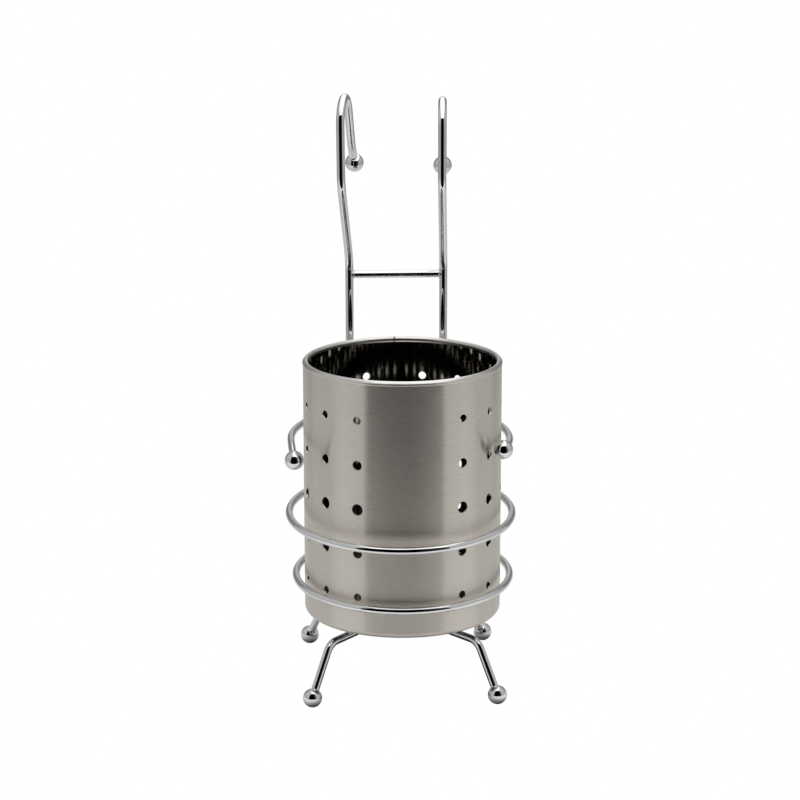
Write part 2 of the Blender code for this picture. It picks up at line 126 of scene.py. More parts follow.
class Signal:
    """A number socket that takes part in Python arithmetic by adding Math nodes."""

    def __init__(self, graph: "Graph", socket: bpy.types.NodeSocket) -> None:
        """Keep the socket and the graph that it belongs to."""
        self.graph = graph
        self.socket = socket

    def math(self, operation: str, *values: Any, clamp: bool = False) -> "Signal":
        """Run a Math node.

        Args:
            operation: the Math node's operation.
            values: what goes into the node's sockets, in order.
            clamp: whether the result is held between 0 and 1.

        Returns:
            The node's result.
        """
        settings = {"operation": operation, "use_clamp": clamp}
        made = self.graph.node("ShaderNodeMath", settings, dict(enumerate(values)))
        return Signal(self.graph, made.outputs[0])

    def __add__(self, other: Any) -> "Signal":
        """Return the sum."""
        return self.math("ADD", self, other)

    def __radd__(self, other: Any) -> "Signal":
        """Return the sum with a number on the left."""
        return self.math("ADD", other, self)

    def __sub__(self, other: Any) -> "Signal":
        """Return the difference."""
        return self.math("SUBTRACT", self, other)

    def __rsub__(self, other: Any) -> "Signal":
        """Return the difference from a number on the left."""
        return self.math("SUBTRACT", other, self)

    def __mul__(self, other: Any) -> "Signal":
        """Return the product."""
        return self.math("MULTIPLY", self, other)

    def __rmul__(self, other: Any) -> "Signal":
        """Return the product with a number on the left."""
        return self.math("MULTIPLY", other, self)

    def __truediv__(self, other: Any) -> "Signal":
        """Return the quotient."""
        return self.math("DIVIDE", self, other)

    def __rtruediv__(self, other: Any) -> "Signal":
        """Return the quotient of a number on the left."""
        return self.math("DIVIDE", other, self)

    def __pow__(self, other: Any) -> "Signal":
        """Return the power."""
        return self.math("POWER", self, other)

    def __mod__(self, other: Any) -> "Signal":
        """Return what a division leaves over."""
        return self.math("MODULO", self, other)

    def floor(self) -> "Signal":
        """Return the whole number below."""
        return self.math("FLOOR", self)

    def absolute(self) -> "Signal":
        """Return the size without its sign."""
        return self.math("ABSOLUTE", self)

    def root(self) -> "Signal":
        """Return the square root."""
        return self.math("SQRT", self)

    def sine(self) -> "Signal":
        """Return the sine."""
        return self.math("SINE", self)

    def cosine(self) -> "Signal":
        """Return the cosine."""
        return self.math("COSINE", self)

    def least(self, other: Any) -> "Signal":
        """Return the smaller of two numbers."""
        return self.math("MINIMUM", self, other)

    def most(self, other: Any) -> "Signal":
        """Return the larger of two numbers."""
        return self.math("MAXIMUM", self, other)

    def over(self, limit: Any) -> "Signal":
        """Return 1 above the limit and 0 below it."""
        return self.math("GREATER_THAN", self, limit)

    def under(self, limit: Any) -> "Signal":
        """Return 1 below the limit and 0 above it."""
        return self.math("LESS_THAN", self, limit)

    def held(self) -> "Signal":
        """Return the number held between 0 and 1."""
        return self.math("ADD", self, 0.0, clamp=True)

    def rises(self, low: Any, high: Any) -> "Signal":
        """Return a ramp from 0 at the low limit to 1 at the high one."""
        return ((self - low) / (high - low)).held()

    def between(self, low: Any, high: Any, soft: float) -> "Signal":
        """Return 1 between two limits, with soft edges outside them."""
        return self.rises(low - soft, low) * (1 - self.rises(high, high + soft))


class Graph:
    """A node tree under construction, for materials, light and geometry alike."""

    def __init__(self, tree: bpy.types.NodeTree) -> None:
        """Keep the tree."""
        self.tree = tree

    def node(self, kind: str, settings: Mapping[str, Any] | None = None,
             sockets: Mapping[str | int, Any] | None = None) -> bpy.types.Node:
        """Add a node.

        Args:
            kind: the node's type.
            settings: its properties, which are set first.
            sockets: values, sockets, signals or lists of them for its inputs.

        Returns:
            The new node.
        """
        made = self.tree.nodes.new(kind)
        for name, value in (settings or {}).items():
            setattr(made, name, value)
        for key, value in (sockets or {}).items():
            self.feed(made.inputs[key], value)
        return made

    def feed(self, socket: bpy.types.NodeSocket, value: Any) -> None:
        """Set a socket, or link it.

        Args:
            socket: an input.
            value: a plain value, or a socket, a signal or a list of them to link.
        """
        if isinstance(value, list):
            for single in value:
                self.feed(socket, single)
        elif isinstance(value, Signal):
            self.tree.links.new(value.socket, socket)
        elif isinstance(value, bpy.types.NodeSocket):
            self.tree.links.new(value, socket)
        else:
            socket.default_value = value

    def signal(self, kind: str, output: str | int, settings: Mapping[str, Any] | None = None,
               sockets: Mapping[str | int, Any] | None = None) -> Signal:
        """Add a node and return one of its outputs as a number."""
        return Signal(self, self.node(kind, settings, sockets).outputs[output])

    def vector(self, operation: str, *values: Any) -> bpy.types.NodeSocket:
        """Run a Vector Math node and return its vector."""
        made = self.node("ShaderNodeVectorMath", {"operation": operation}, dict(enumerate(values)))
        return made.outputs["Vector"]

    def dot(self, first: Any, second: Any) -> Signal:
        """Return the dot product of two vectors."""
        return self.signal("ShaderNodeVectorMath", "Value", {"operation": "DOT_PRODUCT"},
                           {0: first, 1: second})

    def length(self, vector: Any) -> Signal:
        """Return the length of a vector."""
        return self.signal("ShaderNodeVectorMath", "Value", {"operation": "LENGTH"}, {0: vector})

    def split(self, vector: Any) -> tuple[Signal, Signal, Signal]:
        """Return the three parts of a vector."""
        parts = self.node("ShaderNodeSeparateXYZ", sockets={0: vector}).outputs
        return Signal(self, parts[0]), Signal(self, parts[1]), Signal(self, parts[2])

    def joined(self, x: Any, y: Any, z: Any) -> bpy.types.NodeSocket:
        """Return a vector made of three parts."""
        return self.node("ShaderNodeCombineXYZ", sockets={0: x, 1: y, 2: z}).outputs[0]

    def blend(self, share: Any, first: Any, second: Any) -> bpy.types.NodeSocket:
        """Mix two colours.

        Args:
            share: how much of the second one there is.
            first: the colour at a share of 0.
            second: the colour at a share of 1.

        Returns:
            The mixed colour.
        """
        made = self.node("ShaderNodeMix", {"data_type": "RGBA"}, {"Factor": share})
        colours = [socket for socket in made.inputs if socket.type == "RGBA"]
        self.feed(colours[0], first)
        self.feed(colours[1], second)
        return next(socket for socket in made.outputs if socket.type == "RGBA")

    def noise(self, vector: Any, scale: float = 1.0, detail: float = 2.0,
              roughness: float = 0.5) -> Signal:
        """Return a noise between 0 and 1."""
        sockets = {"Vector": vector, "Scale": scale, "Detail": detail, "Roughness": roughness}
        return self.signal("ShaderNodeTexNoise", 0, {"noise_dimensions": "3D"}, sockets)


class MaterialGraph(Graph):
    """The node tree of a metal, with one Principled shader."""

    def __init__(self, name: str, colour: Triple, roughness: float,
                 anisotropy: float = 0.0, rotation: float = 0.0) -> None:
        """Start the material with the values that are the same all over it.

        Args:
            name: the material's name.
            colour: its colour until a pattern feeds it.
            roughness: its roughness until a pattern feeds it.
            anisotropy: how much longer reflections are along one direction.
            rotation: which direction that is, as a share of a turn.
        """
        self.material = bpy.data.materials.new(name)
        self.material.use_nodes = True
        super().__init__(self.material.node_tree)
        self.tree.nodes.clear()
        self.shader = self.node("ShaderNodeBsdfPrincipled", sockets={
            "Base Color": (*colour, 1.0), "Metallic": 1.0, "Roughness": roughness,
            "Anisotropic": anisotropy, "Anisotropic Rotation": rotation})
        self.node("ShaderNodeOutputMaterial", sockets={"Surface": self.shader.outputs[0]})
        self.material.diffuse_color = (*colour, 1.0)
        self.material.metallic = 1.0
        self.material.roughness = roughness

    def place(self) -> bpy.types.NodeSocket:
        """Return the object coordinates."""
        return self.node("ShaderNodeTexCoord").outputs["Object"]

    def stretched(self, vector: Any, factors: Triple) -> bpy.types.NodeSocket:
        """Return a place scaled by a factor along each axis."""
        return self.vector("MULTIPLY", vector, factors)

    def tint(self, share: Any, dark: Triple, light: Triple) -> None:
        """Feed the base colour, from the dark one to the light one."""
        self.feed(self.shader.inputs["Base Color"], self.blend(share, (*dark, 1.0), (*light, 1.0)))

    def roughen(self, roughness: Any) -> None:
        """Feed the roughness."""
        self.feed(self.shader.inputs["Roughness"], roughness)

    def bump(self, height: Any, strength: float, depth: float) -> None:
        """Give the shader a bumpy normal.

        Args:
            height: the pattern of heights.
            strength: how much of it shows.
            depth: how far it reaches from 0 to 1.
        """
        made = self.node("ShaderNodeBump", sockets={
            "Height": height, "Strength": strength, "Distance": depth})
        self.feed(self.shader.inputs["Normal"], made.outputs["Normal"])


@dataclass(frozen=True)
class BrushedSteel:
    """Steel sheet brushed round the cup: sharp reflections across, long ones up and down."""

    name: str = "brushed_cup_outside"
    light: Triple = (0.832, 0.783, 0.707)
    dark: Triple = (0.706, 0.662, 0.593)
    roughness: float = 0.31
    roughness_spread: float = 0.08
    anisotropy: float = 1.0
    rotation: float = 0.25
    fine_lines: Triple = (160.0, 160.0, 3600.0)
    broad_lines: Triple = (230.0, 230.0, 1700.0)
    cloud_scale: float = 55.0
    fine_share: float = 0.25
    broad_share: float = 0.6
    cloud_share: float = 0.15
    contrast: Pair = (0.3, 0.7)
    bump_share: float = 0.6
    bump_strength: float = 0.16
    bump_depth: float = 0.00003

    def material(self) -> bpy.types.Material:
        """Draw fine and broad brush lines round the cup, with faint clouds.

        Returns:
            The finished material.
        """
        graph = MaterialGraph(self.name, self.light, self.roughness, self.anisotropy, self.rotation)
        place = graph.place()
        fine = graph.noise(graph.stretched(place, self.fine_lines), detail=3.0, roughness=0.7)
        broad = graph.noise(graph.stretched(place, self.broad_lines), detail=1.0)
        cloud = graph.noise(place, self.cloud_scale, detail=3.0)
        grain = fine * self.fine_share + broad * self.broad_share + cloud * self.cloud_share
        grain = grain.rises(*self.contrast)
        graph.tint(grain, self.dark, self.light)
        graph.roughen(self.roughness + (grain - 0.5) * self.roughness_spread)
        graph.bump(fine * self.bump_share + broad * (1 - self.bump_share),
                   self.bump_strength, self.bump_depth)
        return graph.material


@dataclass(frozen=True)
class MillSteel:
    """Smooth rolled sheet with faint drawing lines, for the cup's inside, floor and underside. On
    the underside its darker tone is painted shade under the cup.
    """

    name: str = "cup_inside"
    light: Triple = (0.53, 0.51, 0.47)
    dark: Triple = (0.43, 0.415, 0.38)
    roughness: float = 0.055
    roughness_spread: float = 0.03
    lines: Triple = (160.0, 160.0, 6.0)
    cloud_scale: float = 40.0
    line_share: float = 0.6
    contrast: Pair = (0.3, 0.7)
    bump_strength: float = 0.05
    bump_depth: float = 0.00002

    def material(self) -> bpy.types.Material:
        """Draw faint upright lines, with clouds.

        Returns:
            The finished material.
        """
        graph = MaterialGraph(self.name, self.light, self.roughness)
        place = graph.place()
        lines = graph.noise(graph.stretched(place, self.lines), roughness=0.6)
        cloud = graph.noise(place, self.cloud_scale, detail=3.0)
        grain = (lines * self.line_share + cloud * (1 - self.line_share)).rises(*self.contrast)
        graph.tint(grain, self.dark, self.light)
        graph.roughen(self.roughness + (grain - 0.5) * self.roughness_spread)
        graph.bump(lines, self.bump_strength, self.bump_depth)
        return graph.material


@dataclass(frozen=True)
class BrightMetal:
    """Polished metal with a faint ripple, for chromed wire, balls, welds and the rim."""

    name: str
    light: Triple = (0.86, 0.865, 0.87)
    dark: Triple = (0.80, 0.80, 0.80)
    roughness: float = 0.035
    roughness_spread: float = 0.02
    least_roughness: float = 0.01
    ripple_scale: float = 380.0
    cloud_scale: float = 90.0
    contrast: Pair = (0.35, 0.65)
    bump_strength: float = 0.01
    bump_depth: float = 0.00005

    def material(self) -> bpy.types.Material:
        """Ripple the polished surface and cloud its colour.

        Returns:
            The finished material.
        """
        graph = MaterialGraph(self.name, self.light, self.roughness)
        place = graph.place()
        ripple = graph.noise(place, self.ripple_scale)
        cloud = graph.noise(place, self.cloud_scale, detail=3.0, roughness=0.6)
        graph.tint(cloud.rises(*self.contrast), self.dark, self.light)
        uneven = self.roughness + (cloud - 0.5) * self.roughness_spread
        graph.roughen(uneven.most(self.least_roughness))
        graph.bump(ripple, self.bump_strength, self.bump_depth)
        return graph.material


def made_once(finish: BrushedSteel | MillSteel | BrightMetal) -> Any:
    """Return a dataclass field that holds a finish's material."""
    return field(default_factory=finish.material)


@dataclass
class Finishes:
    """All the materials of the holder, each made once."""

    outside: bpy.types.Material = made_once(BrushedSteel())
    inside: bpy.types.Material = made_once(MillSteel())
    pan: bpy.types.Material = made_once(MillSteel(
        "cup_floor", light=(0.90, 0.89, 0.87), dark=(0.82, 0.81, 0.79), roughness=0.14))
    rim: bpy.types.Material = made_once(BrightMetal(
        "polished_rim", light=(0.80, 0.785, 0.75), dark=(0.74, 0.725, 0.69), roughness=0.30))
    wire: bpy.types.Material = made_once(BrightMetal("bright_chrome_wire"))
    ball: bpy.types.Material = made_once(BrightMetal(
        "bright_chrome_ball", ripple_scale=240.0, bump_strength=0.005))
    weld: bpy.types.Material = made_once(BrightMetal(
        "chromed_weld", light=(0.80, 0.80, 0.80), dark=(0.66, 0.66, 0.66), roughness=0.14,
        ripple_scale=1300.0, bump_strength=0.3, bump_depth=0.0001))


class ShapeTree(Graph):
    """A geometry node tree with named inputs, which ends as a plain mesh."""

    def __init__(self, name: str) -> None:
        """Start the tree with its geometry sockets.

        Args:
            name: the tree's name.
        """
        super().__init__(bpy.data.node_groups.new(name, "GeometryNodeTree"))
        self.identifiers: dict[str, str] = {}
        for way in ("INPUT", "OUTPUT"):
            self.tree.interface.new_socket("Geometry", in_out=way, socket_type="NodeSocketGeometry")
        self.source = self.node("NodeGroupInput")

    def ask(self, name: str, kind: str = "NodeSocketFloat") -> Any:
        """Add a named input to the tree.

        Args:
            name: what the modifier calls it.
            kind: the socket's type.

        Returns:
            A number for a float or whole number, otherwise the socket.
        """
        item = self.tree.interface.new_socket(name, in_out="INPUT", socket_type=kind)
        self.identifiers[name] = item.identifier
        socket = self.source.outputs[name]
        return Signal(self, socket) if kind in ("NodeSocketFloat", "NodeSocketInt") else socket

    def ask_finish(self, name: str) -> bpy.types.NodeSocket:
        """Add a named input for a material."""
        return self.ask(name, "NodeSocketMaterial")

    def geometry(self) -> bpy.types.NodeSocket:
        """Return the geometry that the modifier starts from."""
        return self.source.outputs["Geometry"]

    def position(self) -> tuple[Signal, Signal, Signal]:
        """Return the parts of each element's place."""
        return self.split(self.node("GeometryNodeInputPosition").outputs[0])

    def attribute(self, name: str) -> bpy.types.NodeSocket:
        """Return a vector that each point carries under a name."""
        return self.node("GeometryNodeInputNamedAttribute", {"data_type": "FLOAT_VECTOR"},
                         {"Name": name}).outputs[0]

    def points(self) -> bpy.types.NodeSocket:
        """Return the points of the mesh that the modifier starts from."""
        return self.node("GeometryNodeMeshToPoints", sockets={"Mesh": self.geometry()}).outputs[0]

    def placed(self, points: Any, shape: Any, **sockets: Any) -> bpy.types.NodeSocket:
        """Put a real copy of a shape on every point.

        Args:
            points: where the copies go.
            shape: what is copied.
            sockets: the copies' Rotation and Scale, where they have one.

        Returns:
            The copies as one mesh.
        """
        copies = self.node("GeometryNodeInstanceOnPoints", sockets={
            "Points": points, "Instance": shape, **sockets}).outputs[0]
        return self.realized(copies)

    def realized(self, geometry: Any) -> bpy.types.NodeSocket:
        """Return the geometry with its instances made real."""
        return self.node("GeometryNodeRealizeInstances", sockets={0: geometry}).outputs[0]

    def moved(self, geometry: Any, place: Any) -> bpy.types.NodeSocket:
        """Return the geometry with each of its points at a new place."""
        return self.node("GeometryNodeSetPosition", sockets={
            "Geometry": geometry, "Position": place}).outputs[0]

    def facing(self, way: Any) -> bpy.types.NodeSocket:
        """Return the turn that points Z along a vector."""
        return self.node("FunctionNodeAlignRotationToVector", {"axis": "Z"},
                         {"Vector": way}).outputs[0]

    def without(self, sheet: Any, cutters: list[Any]) -> bpy.types.NodeSocket:
        """Take cutters out of a sheet.

        Args:
            sheet: what is cut.
            cutters: what is taken out of it.

        Returns:
            What is left of the sheet.
        """
        settings = {"operation": "DIFFERENCE", "solver": "MANIFOLD"}
        return self.node("GeometryNodeMeshBoolean", settings, {
            "Mesh 1": sheet, "Mesh 2": cutters}).outputs["Mesh"]

    def shaded(self, geometry: Any, crease: float) -> bpy.types.NodeSocket:
        """Shade the faces smooth.

        Args:
            geometry: what is shaded.
            crease: the angle over which an edge stays sharp.

        Returns:
            The shaded geometry.
        """
        smooth = self.node("GeometryNodeSetShadeSmooth", {"domain": "FACE"},
                           {"Geometry": geometry, "Shade Smooth": True})
        angle = self.signal("GeometryNodeInputMeshEdgeAngle", 0)
        return self.node("GeometryNodeSetShadeSmooth", {"domain": "EDGE"}, {
            "Geometry": smooth.outputs[0], "Selection": angle.over(crease),
            "Shade Smooth": False}).outputs[0]

    def painted(self, geometry: Any, material: Any, chosen: Any = True) -> bpy.types.NodeSocket:
        """Return the geometry with a material on the chosen faces."""
        return self.node("GeometryNodeSetMaterial", sockets={
            "Geometry": geometry, "Selection": chosen, "Material": material}).outputs[0]

    def close(self, geometry: Any) -> "ShapeTree":
        """Send the geometry out and return the tree, ready to run."""
        self.node("NodeGroupOutput", sockets={0: geometry})
        return self

    def run(self, piece: bpy.types.Object, values: Mapping[str, Any]) -> bpy.types.Object:
        """Run the tree on a piece and leave the result as its plain mesh.

        Args:
            piece: an object whose mesh the tree starts from.
            values: a value for each named input.

        Returns:
            The same piece, with no modifier left on it.
        """
        modifier = piece.modifiers.new(self.tree.name, "NODES")
        modifier.node_group = self.tree
        for name, value in values.items():
            modifier[self.identifiers[name]] = value
        bpy.context.view_layer.update()
        view = bpy.context.evaluated_depsgraph_get()
        plain = bpy.data.meshes.new_from_object(
            piece.evaluated_get(view), preserve_all_data_layers=True, depsgraph=view)
        piece.modifiers.remove(modifier)
        piece.data = plain
        return piece


def swept_wire_tree() -> ShapeTree:
    """Return the tree that sweeps a round wire along a line of points.

    A rounding of nothing leaves the wire's ends flat.

    Returns:
        A tree with the inputs Diameter, Facets, End Rounding and Finish.
    """
    tree = ShapeTree("swept_wire")
    diameter = tree.ask("Diameter")
    facets = tree.ask("Facets", "NodeSocketInt")
    rounding = tree.ask("End Rounding")
    finish = tree.ask_finish("Finish")
    line = tree.node("GeometryNodeMeshToCurve", sockets={0: tree.geometry()}).outputs[0]
    along = tree.signal("GeometryNodeSplineParameter", "Length")
    total = tree.signal("GeometryNodeSplineLength", "Length")
    inward = (along.least(total - along) / rounding.most(NEARLY_NOTHING)).held()
    swell = (1 - (1 - inward) ** 2.0).most(0.0).root().most(TIP_SHARE)
    swell = swell.most(rounding.under(NEARLY_NOTHING))
    circle = tree.node("GeometryNodeCurvePrimitiveCircle", {"mode": "RADIUS"}, {
        "Resolution": facets, "Radius": diameter * 0.5}).outputs[0]
    tube = tree.node("GeometryNodeCurveToMesh", sockets={
        "Curve": line, "Profile Curve": circle, "Scale": swell, "Fill Caps": True}).outputs[0]
    return tree.close(tree.painted(tree.shaded(tree.realized(tube), WIRE_CREASE), finish))


def ball_tree() -> ShapeTree:
    """Return the tree that puts a ball on each point, flattened where it meets the ground.

    Returns:
        A tree with the inputs Diameter, Segments and Finish.
    """
    tree = ShapeTree("ball_on_point")
    diameter = tree.ask("Diameter")
    segments = tree.ask("Segments", "NodeSocketInt")
    finish = tree.ask_finish("Finish")
    sphere = tree.node("GeometryNodeMeshUVSphere", sockets={
        "Segments": segments, "Rings": segments * 0.5, "Radius": diameter * 0.5}).outputs["Mesh"]
    x, y, z = tree.position()
    rested = tree.moved(tree.placed(tree.points(), sphere), tree.joined(x, y, z.most(0.0)))
    return tree.close(tree.painted(tree.shaded(rested, ROUND_CREASE), finish))


def weld_tree() -> ShapeTree:
    """Return the tree that presses a bead of weld metal at each point.

    Each point carries the vectors across and over: the first runs along the joint and the
    second from one wire to the other, and their lengths are the bead's half sizes.

    Returns:
        A tree with the inputs Unevenness, Seed and Finish.
    """
    tree = ShapeTree("weld_beads")
    unevenness = tree.ask("Unevenness")
    seed = tree.ask("Seed", "NodeSocketInt")
    finish = tree.ask_finish("Finish")
    across, over = tree.attribute("across"), tree.attribute("over")
    turn = tree.node("FunctionNodeAxesToRotation", {"primary_axis": "Z", "secondary_axis": "X"}, {
        "Primary Axis": over, "Secondary Axis": across}).outputs[0]
    chance = tree.signal("FunctionNodeRandomValue", "Value", {"data_type": "FLOAT"}, {
        "Min": 0.0, "Max": 1.0, "Seed": seed})
    width = tree.length(across) * (1 + (chance - 0.5) * unevenness)
    bead = tree.node("GeometryNodeMeshIcoSphere", sockets={
        "Radius": 1.0, "Subdivisions": 4}).outputs["Mesh"]
    beads = tree.placed(tree.points(), bead, Rotation=turn,
                        Scale=tree.joined(width, width, tree.length(over)))
    return tree.close(tree.painted(tree.shaded(beads, ROUND_CREASE), finish))


@dataclass(frozen=True)
class Punch:
    """The tool that makes the holes: a bar that flares where it leaves the sheet's outer face."""

    depth: float = 0.006
    edge_flare: float = 1.6
    edge_height: float = 0.00012

    def cutter(self, tree: ShapeTree, facets: Any) -> bpy.types.NodeSocket:
        """Make the bar for one hole.

        Args:
            tree: the tree that it is part of.
            facets: how many sides the hole has.

        Returns:
            The bar's mesh, along Z, with a radius of 1 up to its middle.
        """
        bar = tree.node("GeometryNodeMeshCylinder", {"fill_type": "NGON"}, {
            "Vertices": facets, "Side Segments": 2, "Radius": 1.0,
            "Depth": self.depth}).outputs["Mesh"]
        x, y, z = tree.position()
        wide = 1 + z.over(self.depth / 4) * self.edge_flare
        return tree.moved(bar, tree.joined(x * wide, y * wide, z))

    def driven(self, tree: ShapeTree, points: Any, facets: Any, way: Any,
               diameter: Any) -> bpy.types.NodeSocket:
        """Set a bar at every hole.

        Args:
            tree: the tree that it is part of.
            points: where the bars' middles go.
            facets: how many sides each hole has.
            way: the direction out of the sheet.
            diameter: the holes' diameter.

        Returns:
            All the bars as one mesh.
        """
        radius = diameter * 0.5
        return tree.placed(points, self.cutter(tree, facets), Rotation=tree.facing(way),
                           Scale=tree.joined(radius, radius, 1.0))


def perforated_wall_tree(punch: Punch) -> ShapeTree:
    """Return the tree that punches four panels of holes in the wall and splits its rim.

    Args:
        punch: what makes the holes.

    Returns:
        A tree whose inputs name the pattern's sizes and the three finishes.
    """
    tree = ShapeTree("perforated_wall")
    radius = tree.ask("Outer Radius")
    height = tree.ask("Height")
    sheet = tree.ask("Sheet Thickness")
    bead_width = tree.ask("Bead Width")
    bead_height = tree.ask("Bead Height")
    bead_proud = tree.ask("Bead Proud")
    split_width = tree.ask("Rim Split Width")
    split_depth = tree.ask("Rim Split Depth")
    rows = tree.ask("Rows")
    row_pitch = tree.ask("Row Pitch")
    lowest = tree.ask("Lowest Row")
    columns = tree.ask("Columns In A Panel")
    column_pitch = tree.ask("Column Pitch")
    front_panel = tree.ask("Front Panel Angle")
    rear_panel = tree.ask("Rear Panel Angle")
    largest = tree.ask("Middle Hole Diameter")
    step = tree.ask("Diameter Step")
    facets = tree.ask("Hole Facets", "NodeSocketInt")
    outside = tree.ask_finish("Outside Finish")
    inside = tree.ask_finish("Inside Finish")
    rim = tree.ask_finish("Rim Finish")

    index = tree.signal("GeometryNodeInputIndex", 0)
    row = (index / (columns * PANELS)).floor()
    column = index % (columns * PANELS)
    panel = (column / columns).floor()
    side = 1 - (panel % 2) * 2
    rear = (panel / 2).floor()
    offset = (column % columns) - (columns - 1) / 2
    angle = side * (front_panel + (rear_panel - front_panel) * rear) + offset * column_pitch
    diameter = largest - step * (row - (rows / 2).floor()).absolute()
    right, back = angle.sine(), 0 - angle.cosine()
    level = lowest + row * row_pitch
    reach = radius - punch.edge_height
    points = tree.node("GeometryNodePoints", sockets={
        "Count": rows * columns * PANELS,
        "Position": tree.joined(right * reach, back * reach, level)}).outputs[0]
    punches = punch.driven(tree, points, facets, tree.joined(right, back, 0.0), diameter)

    block = tree.node("GeometryNodeMeshCube", sockets={
        "Size": tree.joined(split_width, bead_width, bead_height * 2)}).outputs["Mesh"]
    outer = radius + bead_proud + bead_width / 2 - split_depth
    grooves = [tree.node("GeometryNodeTransform", sockets={
        "Geometry": block, "Translation": tree.joined(0.0, place, height)}).outputs[0]
        for place in (outer, outer - bead_width * GROOVE_SPACING)]
    cut = tree.realized(tree.without(tree.geometry(), [punches, *grooves]))

    x, y, z = tree.position()
    far = (x * x + y * y).root()
    dressed = tree.painted(tree.shaded(cut, SHEET_CREASE), rim)
    dressed = tree.painted(dressed, outside, far.over(radius - sheet * SKIN)
                           * z.under(height - bead_height * 0.5))
    return tree.close(tree.painted(dressed, inside, far.under(radius - sheet * (1 - SKIN))
                                   * z.under(height - bead_height)))


def drained_base_tree(punch: Punch) -> ShapeTree:
    """Return the tree that punches rings of drain holes in the base.

    Args:
        punch: what makes the holes.

    Returns:
        A tree whose inputs name the pattern's sizes and the three finishes.
    """
    tree = ShapeTree("drained_base")
    radius = tree.ask("Outer Radius")
    corner = tree.ask("Corner Radius")
    sheet = tree.ask("Sheet Thickness")
    diameter = tree.ask("Hole Diameter")
    pitch = tree.ask("Ring Pitch")
    rings = tree.ask("Rings")
    facets = tree.ask("Hole Facets", "NodeSocketInt")
    outside = tree.ask_finish("Outside Finish")
    inside = tree.ask_finish("Inside Finish")
    painted_shade_underside = tree.ask_finish("Lower Finish Painted Shade")

    # Ring k has 6 k holes, which follow the 1 + 3 k (k - 1) holes of the rings inside it.
    index = tree.signal("GeometryNodeInputIndex", 0)
    ring = (((index + 0.5) / 3).root() + 0.5).floor()
    first = 1 + ring * (ring - 1) * 3
    angle = (index - first) / (ring * 6).most(1.0) * math.tau
    reach = ring * pitch
    points = tree.node("GeometryNodePoints", sockets={
        "Count": 1 + rings * (rings + 1) * 3,
        "Position": tree.joined(angle.cosine() * reach, angle.sine() * reach,
                                punch.edge_height)}).outputs[0]
    punches = punch.driven(tree, points, facets, (0.0, 0.0, -1.0), diameter)
    cut = tree.realized(tree.without(tree.geometry(), [punches]))

    # The outer face is a corner radius away from the floor's flat part, raised by as much.
    x, y, z = tree.position()
    out = ((x * x + y * y).root() - (radius - corner)).most(0.0)
    down = (z - corner).least(0.0)
    within = (out * out + down * down).root().under(corner - sheet * 0.5)
    dressed = tree.painted(tree.shaded(cut, SHEET_CREASE), outside)
    # The underside takes the darker inside finish as painted shade under the cup.
    dressed = tree.painted(dressed, painted_shade_underside, z.under(sheet * 0.5))
    return tree.close(tree.painted(dressed, inside, within))


def add_piece(name: str, mesh: bpy.types.Mesh) -> bpy.types.Object:
    """Put a mesh in the scene.

    Args:
        name: the new object's name.
        mesh: its mesh.

    Returns:
        The object, at the origin.
    """
    piece = bpy.data.objects.new(name, mesh)
    bpy.context.scene.collection.objects.link(piece)
    return piece


def line_mesh(name: str, points: Sequence[Vector], closed: bool = False) -> bpy.types.Mesh:
    """Join points in a line by edges.

    Args:
        name: the mesh's name.
        points: the line's points, in order.
        closed: whether the line runs back to its start.

    Returns:
        A mesh without faces.
    """
    edges = [(index, index + 1) for index in range(len(points) - 1)]
    if closed:
        edges.append((len(points) - 1, 0))
    mesh = bpy.data.meshes.new(name)
    mesh.from_pydata([tuple(point) for point in points], edges, [])
    return mesh


def turned_mesh(name: str, profile: Sequence[Pair], segments: int) -> bpy.types.Mesh:
    """Spin a closed outline round Z.

    Args:
        name: the mesh's name.
        profile: (radius, height) points; a zero radius becomes a pole.
        segments: how many steps make a full turn.

    Returns:
        A closed mesh whose faces point outwards.
    """
    shape = bmesh.new()
    rings = []
    for radius, height in profile:
        steps = segments if radius > 0 else 1
        rings.append([shape.verts.new((radius * math.cos(math.tau * index / segments),
                                       radius * math.sin(math.tau * index / segments), height))
                      for index in range(steps)])
    for ring, following in zip(rings, rings[1:] + rings[:1]):
        if len(ring) == 1 and len(following) == 1:
            continue
        for index in range(segments):
            after = (index + 1) % segments
            corners = [ring[index % len(ring)], ring[after % len(ring)],
                       following[after % len(following)], following[index % len(following)]]
            shape.faces.new(list(dict.fromkeys(corners)))
    bmesh.ops.recalc_face_normals(shape, faces=shape.faces)
    mesh = bpy.data.meshes.new(name)
    shape.to_mesh(mesh)
    shape.free()
    return mesh


def arc_outline(centre: Pair, radii: Pair, start: float, end: float, steps: int) -> list[Pair]:
    """Lay out part of an ellipse.

    Args:
        centre: its centre, as radius and height.
        radii: its two radii.
        start: the angle of its first point.
        end: the angle of its last point.
        steps: how many steps lie between them.

    Returns:
        Its points, both ends included.
    """
    angles = [start + (end - start) * index / steps for index in range(steps + 1)]
    return [(centre[0] + radii[0] * math.cos(angle), centre[1] + radii[1] * math.sin(angle))
            for angle in angles]


def run_between(start: Pair, end: Pair, steps: int) -> list[Pair]:
    """Lay out the inside of a straight run of an outline.

    Args:
        start: one end of the run, which is left out.
        end: its other end, which is left out too.
        steps: how many steps lie between them.

    Returns:
        The points from one end to the other.
    """
    across, up = end[0] - start[0], end[1] - start[1]
    return [(start[0] + across * index / steps, start[1] + up * index / steps)
            for index in range(1, steps)]


def dress(piece: bpy.types.Object, body: Body, slot: Slot, *nodes: str) -> None:
    """Seat a finished piece on its body and report it.

    Args:
        piece: the finished piece.
        body: the body that it rides on.
        slot: the record's material slot that it belongs to; not used.
        nodes: the CAD nodes that it stands for.
    """
    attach(piece, body.value)
    if nodes:
        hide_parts(*nodes)
    LOG.info("%s: %d faces, rides on %s", piece.name, len(piece.data.polygons), body.value)


